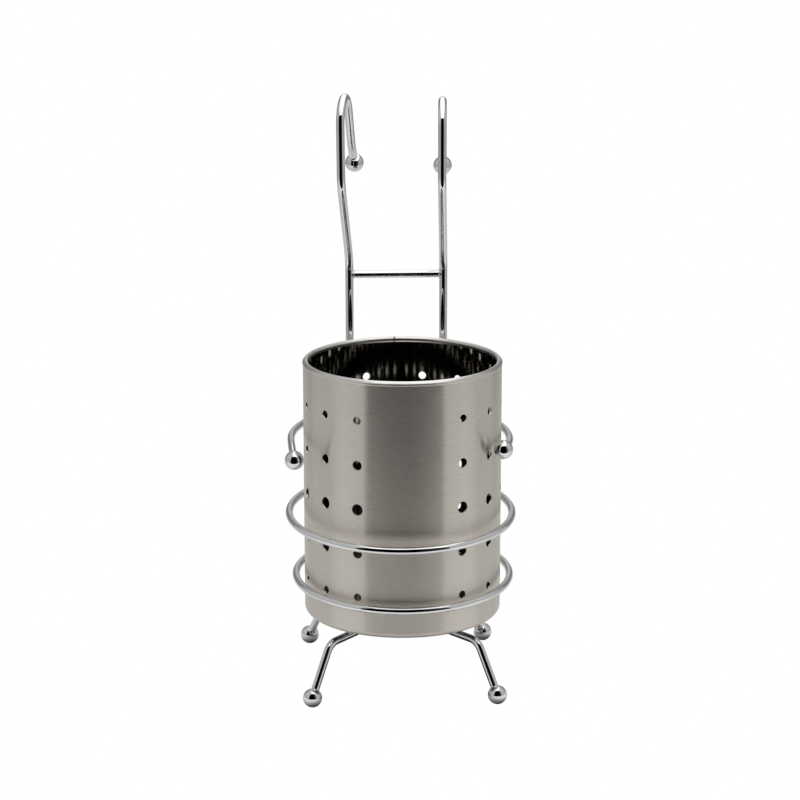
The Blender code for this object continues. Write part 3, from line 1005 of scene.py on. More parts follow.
@dataclass
class Cup:
    """The perforated cup: a wall with a rolled rim, and a pressed base."""

    axis: Vector
    foot_height: float
    finishes: Finishes
    punch: Punch = Punch()
    diameter: float = 0.1002
    height: float = 0.1318
    sheet: float = 0.0006
    bead_width: float = 0.0030
    bead_height: float = 0.0030
    bead_proud: float = 0.0003
    bead_slope: float = 1.5
    split_width: float = 0.0007
    split_depth: float = 0.0004
    corner_radius: float = 0.0028
    skirt_height: float = 0.0031
    spigot_height: float = 0.0040
    seam_gap: float = 0.0003
    turn: float = math.radians(2.3)
    rows: int = 5
    row_pitch: float = 0.0227
    lowest_row: float = 0.0202
    columns: int = 3
    column_pitch: float = math.radians(23.3)
    front_panel: float = math.radians(54.8)
    rear_panel: float = math.radians(139.5)
    middle_hole: float = 0.0058
    hole_step: float = 0.0009
    drain_hole: float = 0.004
    drain_pitch: float = 0.015
    drain_rings: int = 2
    segments: int = 256
    wall_steps: int = 44
    bead_steps: int = 48
    floor_steps: int = 12
    corner_steps: int = 10
    hole_facets: int = 36
    least_facing: float = 0.97

    @property
    def radius(self) -> float:
        """Outer radius of the wall."""
        return self.diameter / 2

    @property
    def inner_radius(self) -> float:
        """Inner radius of the wall."""
        return self.radius - self.sheet

    def wall_outline(self) -> list[Pair]:
        """Lay out the wall's section, with the rolled rim at its top.

        Returns:
            Its (radius, height) points, from the lower edge's outer corner upwards.
        """
        radii = (self.bead_width / 2, self.bead_height / 2)
        centre = (self.radius + self.bead_proud - radii[0], self.height - radii[1])
        start = -math.acos((self.radius - centre[0]) / radii[0])
        end = math.tau - math.acos((self.inner_radius - centre[0]) / radii[0])
        bead = [self.sloped(point, centre, radii)
                for point in arc_outline(centre, radii, start, end, self.bead_steps)]
        outer, inner = (self.radius, self.skirt_height), (self.inner_radius, self.skirt_height)
        outline = [outer] + run_between(outer, bead[0], self.wall_steps) + bead
        return outline + run_between(bead[-1], inner, self.wall_steps) + [inner]

    def sloped(self, point: Pair, centre: Pair, radii: Pair) -> Pair:
        """Draw a point of the rolled rim in where the rim slopes to the outside.

        Args:
            point: a point of the plain, round rim.
            centre: the rim's centre.
            radii: its half width and half height.

        Returns:
            The point of the sloping rim.
        """
        across, up = (point[0] - centre[0]) / radii[0], (point[1] - centre[1]) / radii[1]
        if across <= 0 or up <= 0:
            return point
        return (centre[0] + radii[0] * across ** self.bead_slope,
                centre[1] + radii[1] * up ** self.bead_slope)

    def base_outline(self) -> list[Pair]:
        """Lay out the base's section: a pan with a rounded corner, a skirt and a spigot.

        Returns:
            Its (radius, height) points, from the middle of the floor's upper face.
        """
        spigot_outer = self.inner_radius - self.seam_gap
        spigot_inner = spigot_outer - self.sheet
        spigot_top = self.skirt_height + self.spigot_height
        inner_corner = self.corner_radius - self.sheet
        lower_middle, upper_middle = (0.0, 0.0), (0.0, self.sheet)
        lower_edge = (self.radius - self.corner_radius, 0.0)
        upper_edge = (spigot_inner - inner_corner, self.sheet)
        outline = [upper_middle, lower_middle]
        outline += run_between(lower_middle, lower_edge, self.floor_steps)
        outline += arc_outline((lower_edge[0], self.corner_radius), (self.corner_radius,) * 2,
                               -QUARTER, 0, self.corner_steps)
        outline += [(self.radius, self.skirt_height), (spigot_outer, self.skirt_height)]
        outline += [(spigot_outer, spigot_top), (spigot_inner, spigot_top)]
        outline += arc_outline((upper_edge[0], self.corner_radius), (inner_corner,) * 2,
                               0, -QUARTER, self.corner_steps)
        return outline + run_between(upper_edge, upper_middle, self.floor_steps)

    def smooth_wall(self, mesh: bpy.types.Mesh) -> None:
        """Give the round faces of the sheet normals that point straight out or in.

        Args:
            mesh: the punched wall, round the cup's own axis.
        """
        middle = self.radius - self.sheet / 2
        top = self.height - self.bead_height
        normals = [corner.vector.copy() for corner in mesh.corner_normals]
        for face in mesh.polygons:
            radial = Vector((face.center.x, face.center.y, 0.0))
            facing = radial.normalized().dot(face.normal)
            beside = abs(radial.length - middle) > self.sheet
            if face.center.z > top or abs(facing) < self.least_facing or beside:
                continue
            sign = math.copysign(1, facing)
            for loop in face.loop_indices:
                corner = mesh.vertices[mesh.loops[loop].vertex_index].co
                normals[loop] = Vector((corner.x, corner.y, 0.0)).normalized() * sign
        mesh.normals_split_custom_set([tuple(normal) for normal in normals])

    def seat(self, piece: bpy.types.Object) -> None:
        """Move a piece's mesh from the cup's own axis to its place in the stand."""
        place = Matrix.Translation((self.axis.x, self.axis.y, self.foot_height))
        piece.data.transform(place @ Matrix.Rotation(self.turn, 4, "Z"))

    def build_wall(self) -> None:
        """Build the wall with its holes, split rim and three finishes."""
        mesh = turned_mesh("cup_wall_fine", self.wall_outline(), self.segments)
        wall = perforated_wall_tree(self.punch).run(add_piece("cup_wall_fine", mesh), {
            "Outer Radius": self.radius, "Height": self.height, "Sheet Thickness": self.sheet,
            "Bead Width": self.bead_width, "Bead Height": self.bead_height,
            "Bead Proud": self.bead_proud, "Rim Split Width": self.split_width,
            "Rim Split Depth": self.split_depth,
            "Rows": float(self.rows), "Row Pitch": self.row_pitch, "Lowest Row": self.lowest_row,
            "Columns In A Panel": float(self.columns), "Column Pitch": self.column_pitch,
            "Front Panel Angle": self.front_panel, "Rear Panel Angle": self.rear_panel,
            "Middle Hole Diameter": self.middle_hole, "Diameter Step": self.hole_step,
            "Hole Facets": self.hole_facets, "Outside Finish": self.finishes.outside,
            "Inside Finish": self.finishes.inside, "Rim Finish": self.finishes.rim})
        self.smooth_wall(wall.data)
        self.seat(wall)
        dress(wall, Body.CUP, Slot.CUP, "cup_wall")

    def build_base(self) -> None:
        """Build the base with its drain holes and three finishes; the darker finish on its
        underside is painted shade under the cup.
        """
        mesh = turned_mesh("cup_base_fine", self.base_outline(), self.segments)
        base = drained_base_tree(self.punch).run(add_piece("cup_base_fine", mesh), {
            "Outer Radius": self.radius, "Corner Radius": self.corner_radius,
            "Sheet Thickness": self.sheet,
            "Hole Diameter": self.drain_hole, "Ring Pitch": self.drain_pitch,
            "Rings": float(self.drain_rings), "Hole Facets": self.hole_facets,
            "Outside Finish": self.finishes.outside, "Inside Finish": self.finishes.pan,
            "Lower Finish Painted Shade": self.finishes.inside})
        self.seat(base)
        dress(base, Body.CUP, Slot.CUP, "cup_base")

    def build(self) -> None:
        """Build both pieces of the cup."""
        self.build_wall()
        self.build_base()


class FlatPath:
    """A path drawn in one upright plane, as pairs of distance across and height."""

    def __init__(self, start: Pair, heading: float, bend_step: float) -> None:
        """Start the path.

        Args:
            start: its first point.
            heading: its first direction, measured from straight up towards the back.
            bend_step: the most that it turns from one point of a bend to the next.
        """
        self.points = [start]
        self.heading = heading
        self.bend_step = bend_step

    def run(self, length: float, heading: float | None = None) -> "FlatPath":
        """Go straight on, or along another heading without turning to it.

        Args:
            length: how far to go.
            heading: the other heading, if there is one.

        Returns:
            The same path.
        """
        way = self.heading if heading is None else heading
        across, up = self.points[-1]
        self.points.append((across + length * math.sin(way), up + length * math.cos(way)))
        return self

    def bend(self, radius: float, angle: float) -> "FlatPath":
        """Turn along an arc.

        Args:
            radius: the arc's radius.
            angle: how far to turn, towards the back if it is above 0.

        Returns:
            The same path.
        """
        steps = max(2, math.ceil(abs(angle) / self.bend_step))
        chord = 2 * radius * math.sin(abs(angle) / steps / 2)
        for _ in range(steps):
            self.run(chord, self.heading + angle / steps / 2)
            self.heading += angle / steps
        return self

    def stood(self, corner: Vector, twist: float) -> list[Vector]:
        """Return the path's points in an upright plane turned by the twist."""
        backward = Vector((math.sin(twist), math.cos(twist), 0))
        return [corner + backward * across + Vector((0, 0, up)) for across, up in self.points]


def rounded(corners: Sequence[Vector], radii: Sequence[float], bend_step: float) -> list[Vector]:
    """Lay out straight runs with rounded corners.

    Args:
        corners: the two ends, and the corners between them.
        radii: the radius of each of those corners.
        bend_step: the most that the line turns from one point to the next.

    Returns:
        The line's points.
    """
    points = [corners[0]]
    for before, corner, after, radius in zip(corners, corners[1:], corners[2:], radii):
        arriving = (corner - before).normalized()
        leaving = (after - corner).normalized()
        turn = arriving.angle(leaving)
        axis = arriving.cross(leaving).normalized()
        start = corner - arriving * radius * math.tan(turn / 2)
        centre = start + axis.cross(arriving) * radius
        steps = max(2, math.ceil(turn / bend_step))
        points += [centre + Matrix.Rotation(turn * index / steps, 3, axis) @ (start - centre)
                   for index in range(steps + 1)]
    return points + [corners[-1]]


@dataclass(frozen=True)
class Hook:
    """What differs between the two uprights."""

    side: Side
    rise: float
    step_twist: float
    hook_twist: float


@dataclass(frozen=True)
class Ring:
    """A ring round the cup, closed or open, whose front hangs lower by its droop."""

    name: str
    play: float
    centre_x: float
    height: float
    droop: float
    wire: float = 0.0038


@dataclass(frozen=True)
class Weld:
    """A bead of weld metal between two wires."""

    place: Vector
    across: Vector
    over: Vector


@dataclass
class Stand:
    """The chromed wire stand: rings, arc, uprights with hooks, cross bar, legs and balls."""

    axis: Vector
    cup_radius: float
    finishes: Finishes
    cup_side_play: float = 0.0005
    gap: float = 0.0003
    upright_wire: float = 0.00425
    leg_wire: float = 0.0040
    bar_wire: float = 0.0040
    ball: float = 0.0096
    leg_top: float = 0.0291
    leg_centre: Pair = (-0.0004, 0.0010)
    foot_half_width: float = 0.0464
    foot_half_depth: float = 0.0475
    knee_setback: float = 0.0148
    knee_radius: float = 0.0082
    bow_radius: float = 0.0211
    foot_flat_radius: float = 0.0014
    lower_ring: Ring = Ring("lower_ring", play=0.0027, centre_x=0.0007, height=0.0547,
                            droop=math.radians(2.6))
    upper_ring: Ring = Ring("upper_ring", play=0.0047, centre_x=-0.0005, height=0.0882,
                            droop=math.radians(3.6))
    arc: Ring = Ring("holding_arc", play=0.00335, centre_x=-0.0006, height=0.1266,
                     droop=math.radians(2.7), wire=0.0037)
    arc_reach: Pair = (math.radians(22.4), math.radians(23.2))
    arc_strain: tuple[Vector, Vector] = (
        Vector((-0.0032, 0, -0.0021)), Vector((0.0008, 0, 0.0010)))
    spacing: float = 0.0489
    foot_bend: float = 0.009
    bar_overhang: float = 0.004
    cross_bar_height: float = 0.1999
    step_start: float = 0.2008
    step_radius: float = 0.030
    step_angle: float = math.radians(26.5)
    step_run: float = 0.0341
    hook_lean: float = math.radians(2.4)
    hook_radius: float = 0.0119
    tail_angle: float = math.radians(157.4)
    tail_run: float = 0.018
    tail_flare: float = math.radians(23.3)
    tail_radius: float = 0.030
    hooks: tuple[Hook, Hook] = (
        Hook(Side.LEFT, rise=0.0241, step_twist=math.radians(12.4), hook_twist=math.radians(12.0)),
        Hook(Side.RIGHT, rise=0.0223, step_twist=math.radians(5.7), hook_twist=math.radians(4.0)))
    facets: int = 28
    ball_segments: int = 64
    ring_steps: int = 180
    arc_steps: int = 132
    bar_steps: int = 24
    bend_step: float = math.radians(3.0)
    # The steps of the CAD paths, whose last run sets where a ball sits.
    frame_arc_steps: int = 44
    frame_bend_step: float = math.radians(12.0)
    end_rounding: float = 0.0005
    end_shares: Sequence[float] = (0, 0.1, 0.25, 0.5, 0.75, 1)
    inset: float = 0.0022
    weld_reach: float = 0.0015
    weld_thickness: float = 0.0007
    bar_weld_share: float = 0.58
    middle_weld_share: float = 1.6
    weld_unevenness: float = 0.25
    weld_seed: int = 7

    def __post_init__(self) -> None:
        """Work out the places that follow from the sizes."""
        self.shift = self.axis - Vector((self.cup_side_play, 0, 0))
        bow_depth = self.foot_half_depth - self.bow_radius - (self.leg_wire + self.gap) / 2
        reach = math.hypot(self.foot_half_width, bow_depth)
        self.leg_direction = (math.atan2(bow_depth, self.foot_half_width)
                              + math.asin(self.bow_radius / reach))
        self.leg_corner = (self.foot_half_width * math.tan(self.leg_direction)
                           - self.foot_half_depth)
        self.bar_height = self.leg_top + self.leg_wire / 2 + self.gap + self.upright_wire / 2
        self.upright_x = self.spacing / 2
        self.bar_front = (self.leg_centre[1] + self.leg_corner
                          - self.upright_x * math.tan(self.leg_direction) - self.bar_overhang)
        self.upright_y = self.weld_depth(self.lower_ring)
        self.sweep = swept_wire_tree()
        self.round = ball_tree()

    def ring_radius(self, ring: Ring) -> float:
        """Return the radius of a ring's centre line."""
        return self.cup_radius + ring.play + ring.wire / 2

    def weld_depth(self, ring: Ring) -> float:
        """Return how far behind a ring's centre the nearer upright touches it."""
        touch = self.ring_radius(ring) + ring.wire / 2 + self.upright_wire / 2 + self.gap
        return math.sqrt(touch ** 2 - (self.upright_x - abs(ring.centre_x)) ** 2)

    def ring_centre(self, ring: Ring) -> Vector:
        """Return the middle of a ring."""
        return Vector((ring.centre_x, self.upright_y - self.weld_depth(ring), ring.height))

    def ring_point(self, ring: Ring, angle: float) -> Vector:
        """Find a point on a ring's centre line.

        Args:
            ring: the ring.
            angle: where the point is, from the right round the back.

        Returns:
            The point.
        """
        radius = self.ring_radius(ring)
        back = radius * math.sin(angle)
        way = Vector((radius * math.cos(angle), back * math.cos(ring.droop),
                      back * math.sin(ring.droop)))
        return self.ring_centre(ring) + way

    def arc_points(self, steps: int) -> list[Vector]:
        """Lay out the holding arc, whose ends are strained out of its circle.

        Args:
            steps: how many steps it has.

        Returns:
            Its centre line, from its left end round the back.
        """
        start, end = math.pi + self.arc_reach[0], -self.arc_reach[1]
        points = []
        for index in range(steps + 1):
            angle = start + (end - start) * index / steps
            shares = (max(0.0, (angle - math.pi) / self.arc_reach[0]) ** 2,
                      max(0.0, -angle / self.arc_reach[1]) ** 2)
            strain = self.arc_strain[0] * shares[0] + self.arc_strain[1] * shares[1]
            points.append(self.ring_point(self.arc, angle) + strain)
        return points

    def upright_points(self, hook: Hook, bend_step: float) -> list[Vector]:
        """Lay out an upright.

        Args:
            hook: what is its own.
            bend_step: the most that it turns from one point to the next.

        Returns:
            Its centre line, from under the cup to the hook's end.
        """
        corner = Vector((hook.side.value * self.upright_x, self.upright_y, 0))
        foot = FlatPath((self.bar_front - self.upright_y, self.bar_height), QUARTER, bend_step)
        foot.run(self.upright_y - self.bar_front - self.foot_bend).bend(self.foot_bend, -QUARTER)
        step = FlatPath((0, self.step_start), 0, bend_step)
        step.bend(self.step_radius, -self.step_angle).run(self.step_run)
        step.bend(self.step_radius, self.step_angle - self.hook_lean).run(hook.rise)
        over = FlatPath((0, 0), -self.hook_lean, bend_step)
        over.bend(self.hook_radius, self.hook_lean + self.tail_angle).run(self.tail_run)
        over.bend(self.tail_radius, -self.tail_flare)
        points = foot.stood(corner, 0) + step.stood(corner, hook.step_twist)
        return points + over.stood(points[-1], hook.hook_twist)[1:]

    def leg_points(self, end: End, bend_step: float) -> list[Vector]:
        """Lay out the two legs at one end of the stand.

        Args:
            end: the front or the rear one.
            bend_step: the most that their wire turns from one point to the next.

        Returns:
            Their centre line, from the left ball to the right one.
        """
        foot_height = math.sqrt((self.ball / 2) ** 2 - self.foot_flat_radius ** 2)
        centre = Vector((*self.leg_centre, 0))
        corner = centre + Vector((0, -end.value * self.leg_corner, self.leg_top))
        ends, knees = [], []
        for side in Side:
            foot = centre + Vector((side.value * self.foot_half_width,
                                    end.value * self.foot_half_depth, foot_height))
            way = Vector((side.value * math.cos(self.leg_direction),
                          end.value * math.sin(self.leg_direction), 0))
            knee = foot - way * self.knee_setback
            knee.z = self.leg_top
            knees.append(knee)
            ends.append(foot - (foot - knee).normalized() * self.ball_reach(self.leg_wire))
        corners = [ends[0], knees[0], corner, knees[1], ends[1]]
        return rounded(corners, [self.knee_radius, self.bow_radius, self.knee_radius], bend_step)

    def ball_reach(self, wire: float) -> float:
        """Return how far past a wire's end its ball's centre lies."""
        return math.sqrt((self.ball / 2) ** 2 - (wire / 2) ** 2) + self.gap

    def ball_centre(self, points: Sequence[Vector], wire: float) -> Vector:
        """Return the centre of the ball beyond the last point of a CAD path."""
        return points[-1] + (points[-1] - points[-2]).normalized() * self.ball_reach(wire)

    def both_centres(self, points: Sequence[Vector], wire: float) -> dict[int, Vector]:
        """Return the centres of the balls beyond both ends of a CAD path."""
        return {0: self.ball_centre(points[::-1], wire), -1: self.ball_centre(points, wire)}

    def make_wire(self, name: str, points: Sequence[Vector], wire: float,
                  closed: bool = False, rounding: float = 0.0) -> None:
        """Sweep one wire along its points and seat it in place of its CAD node.

        Args:
            name: the CAD node's name.
            points: the wire's centre line, round the stand's middle.
            wire: its diameter.
            closed: whether the line runs back to its start.
            rounding: how far from its ends the wire is rounded.
        """
        placed = [point + self.shift for point in points]
        piece = add_piece(name + "_fine", line_mesh(name + "_line", placed, closed))
        self.sweep.run(piece, {
            "Diameter": wire, "Facets": self.facets, "End Rounding": rounding,
            "Finish": self.finishes.wire})
        dress(piece, Body.STAND, Slot.WIRE, name)

    def make_ball(self, name: str, centre: Vector) -> None:
        """Make one ball and seat it in place of its CAD node.

        Args:
            name: the CAD node's name.
            centre: the ball's centre, round the stand's middle.
        """
        piece = add_piece(name + "_fine", line_mesh(name + "_point", [centre + self.shift]))
        self.round.run(piece, {
            "Diameter": self.ball, "Segments": self.ball_segments, "Finish": self.finishes.ball})
        dress(piece, Body.STAND, Slot.BALL, name)

    def sunk(self, points: Sequence[Vector], centres: Mapping[int, Vector]) -> list[Vector]:
        """Lead some of a wire's ends into their balls.

        Args:
            points: the centre line.
            centres: the ball's centre for the end at index 0 or -1.

        Returns:
            The longer centre line.
        """
        longer = list(points)
        for end, centre in centres.items():
            tip = points[end] + (centre - points[end]).normalized() * self.inset
            longer.insert(0 if end == 0 else len(longer), tip)
        return longer

    def finely_ended(self, points: Sequence[Vector]) -> list[Vector]:
        """Add close points to the start of a wire, for its rounded end.

        Args:
            points: the centre line.

        Returns:
            The same line, with more points.
        """
        way = (points[1] - points[0]).normalized()
        near = [points[0] + way * self.end_rounding * share for share in self.end_shares]
        return near + list(points[1:])

    def build_rings(self) -> None:
        """Build the two closed rings."""
        for ring in (self.lower_ring, self.upper_ring):
            points = [self.ring_point(ring, math.tau * index / self.ring_steps)
                      for index in range(self.ring_steps)]
            self.make_wire(ring.name, points, ring.wire, closed=True)

    def build_arc(self) -> None:
        """Build the open holding arc and its two balls."""
        centres = self.both_centres(self.arc_points(self.frame_arc_steps), self.arc.wire)
        fine = self.sunk(self.arc_points(self.arc_steps), centres)
        self.make_wire(self.arc.name, fine, self.arc.wire)
        self.make_ball("arc_ball_left", centres[0])
        self.make_ball("arc_ball_right", centres[-1])

    def build_uprights(self) -> None:
        """Build the two uprights, the balls on their hooks and the cross bar."""
        for hook in self.hooks:
            side = hook.side.name.lower()
            frame = self.upright_points(hook, self.frame_bend_step)
            centre = self.ball_centre(frame, self.upright_wire)
            fine = self.sunk(self.upright_points(hook, self.bend_step), {-1: centre})
            self.make_wire("upright_" + side, self.finely_ended(fine), self.upright_wire,
                           rounding=self.end_rounding)
            self.make_ball("hook_ball_" + side, centre)
        # The bar's ends lie inside the uprights.
        reach = self.upright_x - self.upright_wire / 4
        left, right = (Vector((side.value * reach, self.upright_y, self.cross_bar_height))
                       for side in Side)
        bar = [left.lerp(right, index / self.bar_steps) for index in range(self.bar_steps + 1)]
        self.make_wire("cross_bar", bar, self.bar_wire)

    def build_legs(self) -> None:
        """Build the two leg wires and the four ball feet."""
        for end in End:
            centres = self.both_centres(self.leg_points(end, self.frame_bend_step), self.leg_wire)
            name = end.name.lower()
            fine = self.sunk(self.leg_points(end, self.bend_step), centres)
            self.make_wire("leg_wire_" + name, fine, self.leg_wire)
            self.make_ball(f"foot_ball_{name}_left", centres[0])
            self.make_ball(f"foot_ball_{name}_right", centres[-1])

    def ring_welds(self) -> list[Weld]:
        """Find the welds where the rings and the arc touch the uprights.

        Returns:
            Two welds for each of them.
        """
        welds = []
        for ring in (self.lower_ring, self.upper_ring, self.arc):
            centre = self.ring_centre(ring)
            for side in Side:
                upright = Vector((side.value * self.upright_x, self.upright_y, 0))
                over = (upright - Vector((centre.x, centre.y, 0))).normalized()
                place = upright - over * (self.upright_wire / 2)
                place.z = centre.z + (upright.y - centre.y) * math.sin(ring.droop)
                welds.append(Weld(place, Vector((0, 0, self.weld_reach)),
                                  over * self.weld_thickness))
        return welds

    def bar_welds(self) -> list[Weld]:
        """Find the welds at the ends of the cross bar.

        Returns:
            Two welds.
        """
        reach = self.upright_x - self.upright_wire / 2
        across = Vector((0, 0, self.bar_wire * self.bar_weld_share))
        return [Weld(Vector((side.value * reach, self.upright_y, self.cross_bar_height)), across,
                     Vector((-side.value * self.weld_thickness, 0, 0))) for side in Side]

    def leg_welds(self) -> list[Weld]:
        """Find the welds under the bars, and the one between the two leg wires.

        Returns:
            Five welds.
        """
        middle = Vector((*self.leg_centre, self.leg_top))
        welds = []
        for side in Side:
            for end in End:
                offset = side.value * self.upright_x - middle.x
                depth = abs(offset) * math.tan(self.leg_direction) - self.leg_corner
                place = middle + Vector((offset, end.value * depth, (self.leg_wire + self.gap) / 2))
                welds.append(Weld(place, Vector((self.weld_reach, 0, 0)),
                                  Vector((0, 0, self.weld_thickness))))
        welds.append(Weld(middle, Vector((self.weld_reach * self.middle_weld_share, 0, 0)),
                          Vector((0, self.weld_thickness, 0))))
        return welds

    def build_welds(self) -> None:
        """Press a bead of weld metal at every joint between two wires."""
        welds = self.ring_welds() + self.bar_welds() + self.leg_welds()
        mesh = line_mesh("weld_points", [weld.place + self.shift for weld in welds])
        for name, vectors in (("across", [weld.across for weld in welds]),
                              ("over", [weld.over for weld in welds])):
            layer = mesh.attributes.new(name, "FLOAT_VECTOR", "POINT")
            layer.data.foreach_set("vector", [part for vector in vectors for part in vector])
        piece = weld_tree().run(add_piece("weld_beads", mesh), {
            "Unevenness": self.weld_unevenness, "Seed": self.weld_seed,
            "Finish": self.finishes.weld})
        dress(piece, Body.STAND, Slot.WIRE)

    def build(self) -> None:
        """Build every piece of the stand."""
        self.build_rings()
        self.build_arc()
        self.build_uprights()
        self.build_legs()
        self.build_welds()


@dataclass
class Studio:
    """The camera, the pale floor and the soft light, with a dark opening in front."""

    target: Vector
    turn: float = math.radians(2.8)
    pitch: float = 0.2507
    distance: float = 1.26066
    camera_height: float = 0.46883
    focal_pixels: float = 2575.62
    shift_pixels: float = -2.4
    view_depth: Pair = (0.05, 50.0)
    floor_radius: float = 12.0
    table_front: float = -0.24
    table_size: float = 1.3
    table_lift: float = 0.0001
    # The table top's colour and glow are painted light and shade: a lit strip near the front,
    # painted shade behind it, and painted shadows round the cup and the feet.
    table_lit_near: float = 0.93
    table_shaded_under: float = 0.55
    table_step: float = -0.035
    table_soft: float = 0.02
    table_glow: float = 0.34
    cup_shadow: Pair = (0.034, 0.078)
    foot_shadow: Pair = (0.001, 0.012)
    feet: Pair = (0.0464, 0.0475)
    shadow_light: float = 0.05
    ceiling_height: float = 0.45
    ceiling_front: Triple = (-0.235, -0.17, 0.24)
    ceiling_back: Triple = (0.50, -0.05, 0.12)
    ceiling_light: float = 1.3
    side_light: float = 0.40
    high_light: float = 0.52
    wall_rise: Pair = (math.radians(-5), math.radians(35))
    opening: Pair = (math.radians(-42), math.radians(47.5))
    opening_soft: float = math.radians(2)
    opening_fade: Pair = (math.radians(20), math.radians(45))
    opening_fade_share: float = 0.10
    opening_top: Pair = (math.radians(75), math.radians(80))
    rear_panels: Pair = (math.radians(128), math.radians(163))
    rear_soft: float = math.radians(4)
    rear_top: Pair = (math.radians(32), math.radians(50))
    rear_share: float = 0.5

    @property
    def heading(self) -> Vector:
        """The level direction in which the camera looks."""
        return Vector((math.sin(self.turn), math.cos(self.turn), 0))

    @property
    def right(self) -> Vector:
        """The level direction to the camera's right."""
        return Vector((math.cos(self.turn), -math.sin(self.turn), 0))

    def build_camera(self) -> None:
        """Place the camera at the photograph's viewing angle."""
        forward = self.heading * math.cos(self.pitch) - Vector((0, 0, math.sin(self.pitch)))
        up = self.right.cross(forward)
        turn = Matrix((self.right, up, -forward)).transposed()
        data = bpy.data.cameras.new("camera")
        data.sensor_width = SENSOR_WIDTH
        data.lens = self.focal_pixels * SENSOR_WIDTH / IMAGE_PIXELS
        data.shift_x = self.shift_pixels / IMAGE_PIXELS
        data.clip_start, data.clip_end = self.view_depth
        camera = bpy.data.objects.new("camera", data)
        place = Vector((self.target.x, self.target.y, 0)) - self.heading * self.distance
        place.z = self.camera_height
        camera.matrix_world = Matrix.Translation(place) @ turn.to_4x4()
        bpy.context.scene.collection.objects.link(camera)
        bpy.context.scene.camera = camera

    def build_floor(self) -> None:
        """Lay the pale floor, and the near table top that only reflections see, with painted light
        and shade on it.
        """
        far = self.floor_radius
        floor = self.sheet("floor", 0.0, (-far, -far, far), (far, -far, far), 0.0, 1.0)
        floor.visible_glossy = False
        half = self.table_size / 2
        table = self.sheet("table_top", self.table_lift, (self.table_front, -half, half),
                           (self.table_front + self.table_size, -half, half), self.table_lit_near,
                           self.table_glow)
        self.shade_under(table.data.materials[0])
        table.visible_camera = False
        table.visible_diffuse = False
        table.visible_shadow = False
        table.visible_transmission = False

    def build_ceiling(self) -> None:
        """Hang the bright panel over the holder, which lights the table and the metal."""
        panel = self.sheet("ceiling_panel", self.ceiling_height, self.ceiling_front,
                           self.ceiling_back, 0.0, self.ceiling_light)
        panel.visible_camera = False
        panel.visible_shadow = False

    def sheet(self, name: str, height: float, front: Triple, back: Triple, white: float,
              glow: float) -> bpy.types.Object:
        """Lay one level sheet of matt white.

        Args:
            name: the object's name.
            height: its height.
            front: where its front edge is along Y, and where that edge starts and ends along X.
            back: the same of its back edge.
            white: how white it is.
            glow: how much light it gives by itself.

        Returns:
            The sheet, marked as stage.
        """
        corners = [(front[1], front[0], height), (front[2], front[0], height),
                   (back[2], back[0], height), (back[1], back[0], height)]
        mesh = bpy.data.meshes.new(name)
        mesh.from_pydata(corners, [], [(0, 1, 2, 3)])
        material = bpy.data.materials.new(name + "_paper")
        material.use_nodes = True
        shader = material.node_tree.nodes["Principled BSDF"]
        for socket, value in (("Base Color", (white, white, white, 1.0)), ("Roughness", 0.9),
                              ("Specular IOR Level", 0.0), ("Emission Color", WHITE),
                              ("Emission Strength", glow)):
            shader.inputs[socket].default_value = value
        mesh.materials.append(material)
        piece = add_piece(name, mesh)
        return piece

    def shade_under(self, paper: bpy.types.Material) -> None:
        """Paint light and shade into the table: lighter near the front edge, painted shade behind
        it, and painted shadows under the cup and the balls.

        Args:
            paper: the table's material.
        """
        graph = Graph(paper.node_tree)
        x, y, _ = graph.split(graph.node("ShaderNodeTexCoord").outputs["Object"])
        behind = y.rises(self.table_step - self.table_soft, self.table_step + self.table_soft)
        white = self.table_lit_near + behind * (self.table_shaded_under - self.table_lit_near)
        across, depth = x - self.target.x, y - self.target.y
        away = (across ** 2.0 + depth ** 2.0).root()
        beside, before = across.absolute() - self.feet[0], depth.absolute() - self.feet[1]
        aside = (beside ** 2.0 + before ** 2.0).root()
        lit = away.rises(*self.cup_shadow) * (1 - self.shadow_light) + self.shadow_light
        lit = lit * (aside.rises(*self.foot_shadow) * (1 - self.shadow_light) + self.shadow_light)
        shader = paper.node_tree.nodes["Principled BSDF"]
        # Both the table's white and its glow carry the painted shade and shadows.
        for name, level in (("Base Color", white * lit), ("Emission Color", lit)):
            graph.feed(shader.inputs[name], graph.joined(level, level, level))

    def build_light(self) -> None:
        """Light the room from its walls: grey sides, darker rear panels and a dark front."""
        world = bpy.data.worlds.new("soft_studio")
        world.use_nodes = True
        bpy.context.scene.world = world
        graph = Graph(world.node_tree)
        graph.tree.nodes.clear()
        way = graph.node("ShaderNodeTexCoord").outputs["Generated"]
        across = graph.dot(way, tuple(self.right))
        back = graph.dot(way, tuple(self.heading))
        azimuth = across.math("ARCTAN2", across, 0 - back)
        up = graph.split(way)[2]
        height = up.math("ARCSINE", up)
        front = azimuth.between(*self.opening, self.opening_soft)
        front = front * (1 - azimuth.rises(*self.opening_fade) * self.opening_fade_share)
        front = front * (1 - height.rises(*self.opening_top))
        behind = azimuth.absolute().between(*self.rear_panels, self.rear_soft)
        behind = behind * (1 - height.rises(*self.rear_top))
        walls = height.rises(*self.wall_rise) * (self.high_light - self.side_light)
        light = (self.side_light + walls) * (1 - behind * self.rear_share) * (1 - front)
        seen = graph.node("ShaderNodeLightPath").outputs["Is Camera Ray"]
        grey = graph.node("ShaderNodeCombineColor", sockets={0: light, 1: light, 2: light})
        colour = graph.blend(seen, grey.outputs[0], WHITE)
        shade = graph.node("ShaderNodeBackground", sockets={"Color": colour, "Strength": 1.0})
        graph.node("ShaderNodeOutputWorld", sockets={"Surface": shade.outputs[0]})

    def build(self) -> None:
        """Build the whole studio."""
        self.build_camera()
        self.build_floor()
        self.build_ceiling()
        self.build_light()
        bpy.context.scene.view_settings.view_transform = "Standard"


def clear_scene() -> None:
    """Remove what the file opens with."""
    for existing in list(bpy.data.objects):
        bpy.data.objects.remove(existing, do_unlink=True)


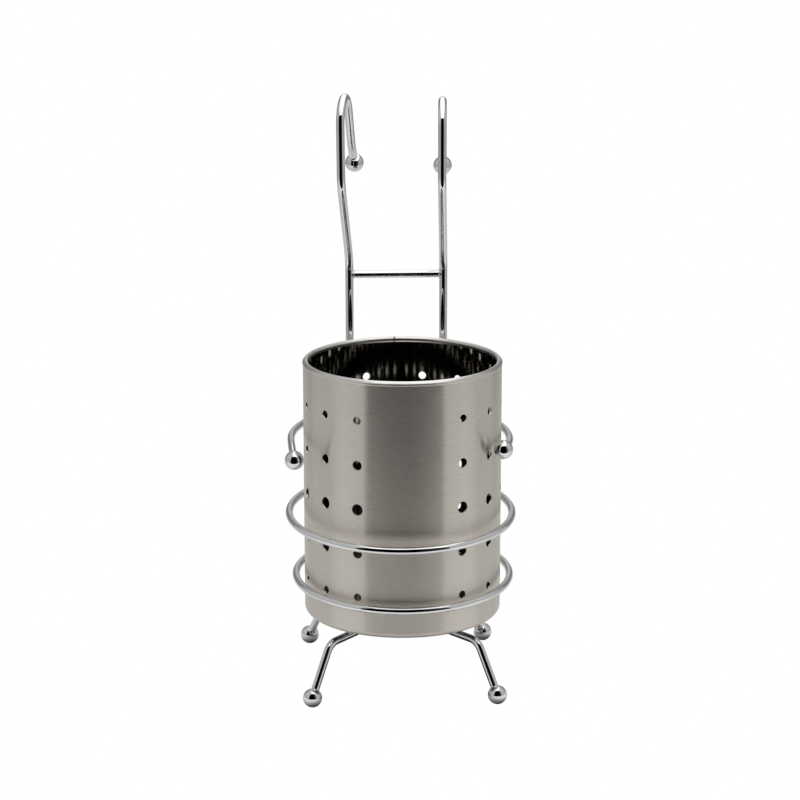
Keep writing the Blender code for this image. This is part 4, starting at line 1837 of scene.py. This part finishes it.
def main() -> None:
    """Build the looks of the holder round its frame."""
    logging.basicConfig(level=logging.INFO, format="%(message)s")
    clear_scene()
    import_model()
    low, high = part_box("cup_base")
    axis = Vector(((low.x + high.x) / 2, (low.y + high.y) / 2, 0))
    finishes = Finishes()
    cup = Cup(axis, low.z, finishes)
    cup.build()
    Stand(axis, cup.radius, finishes).build()
    Studio(axis).build()


if __name__ == "__main__":
    main()
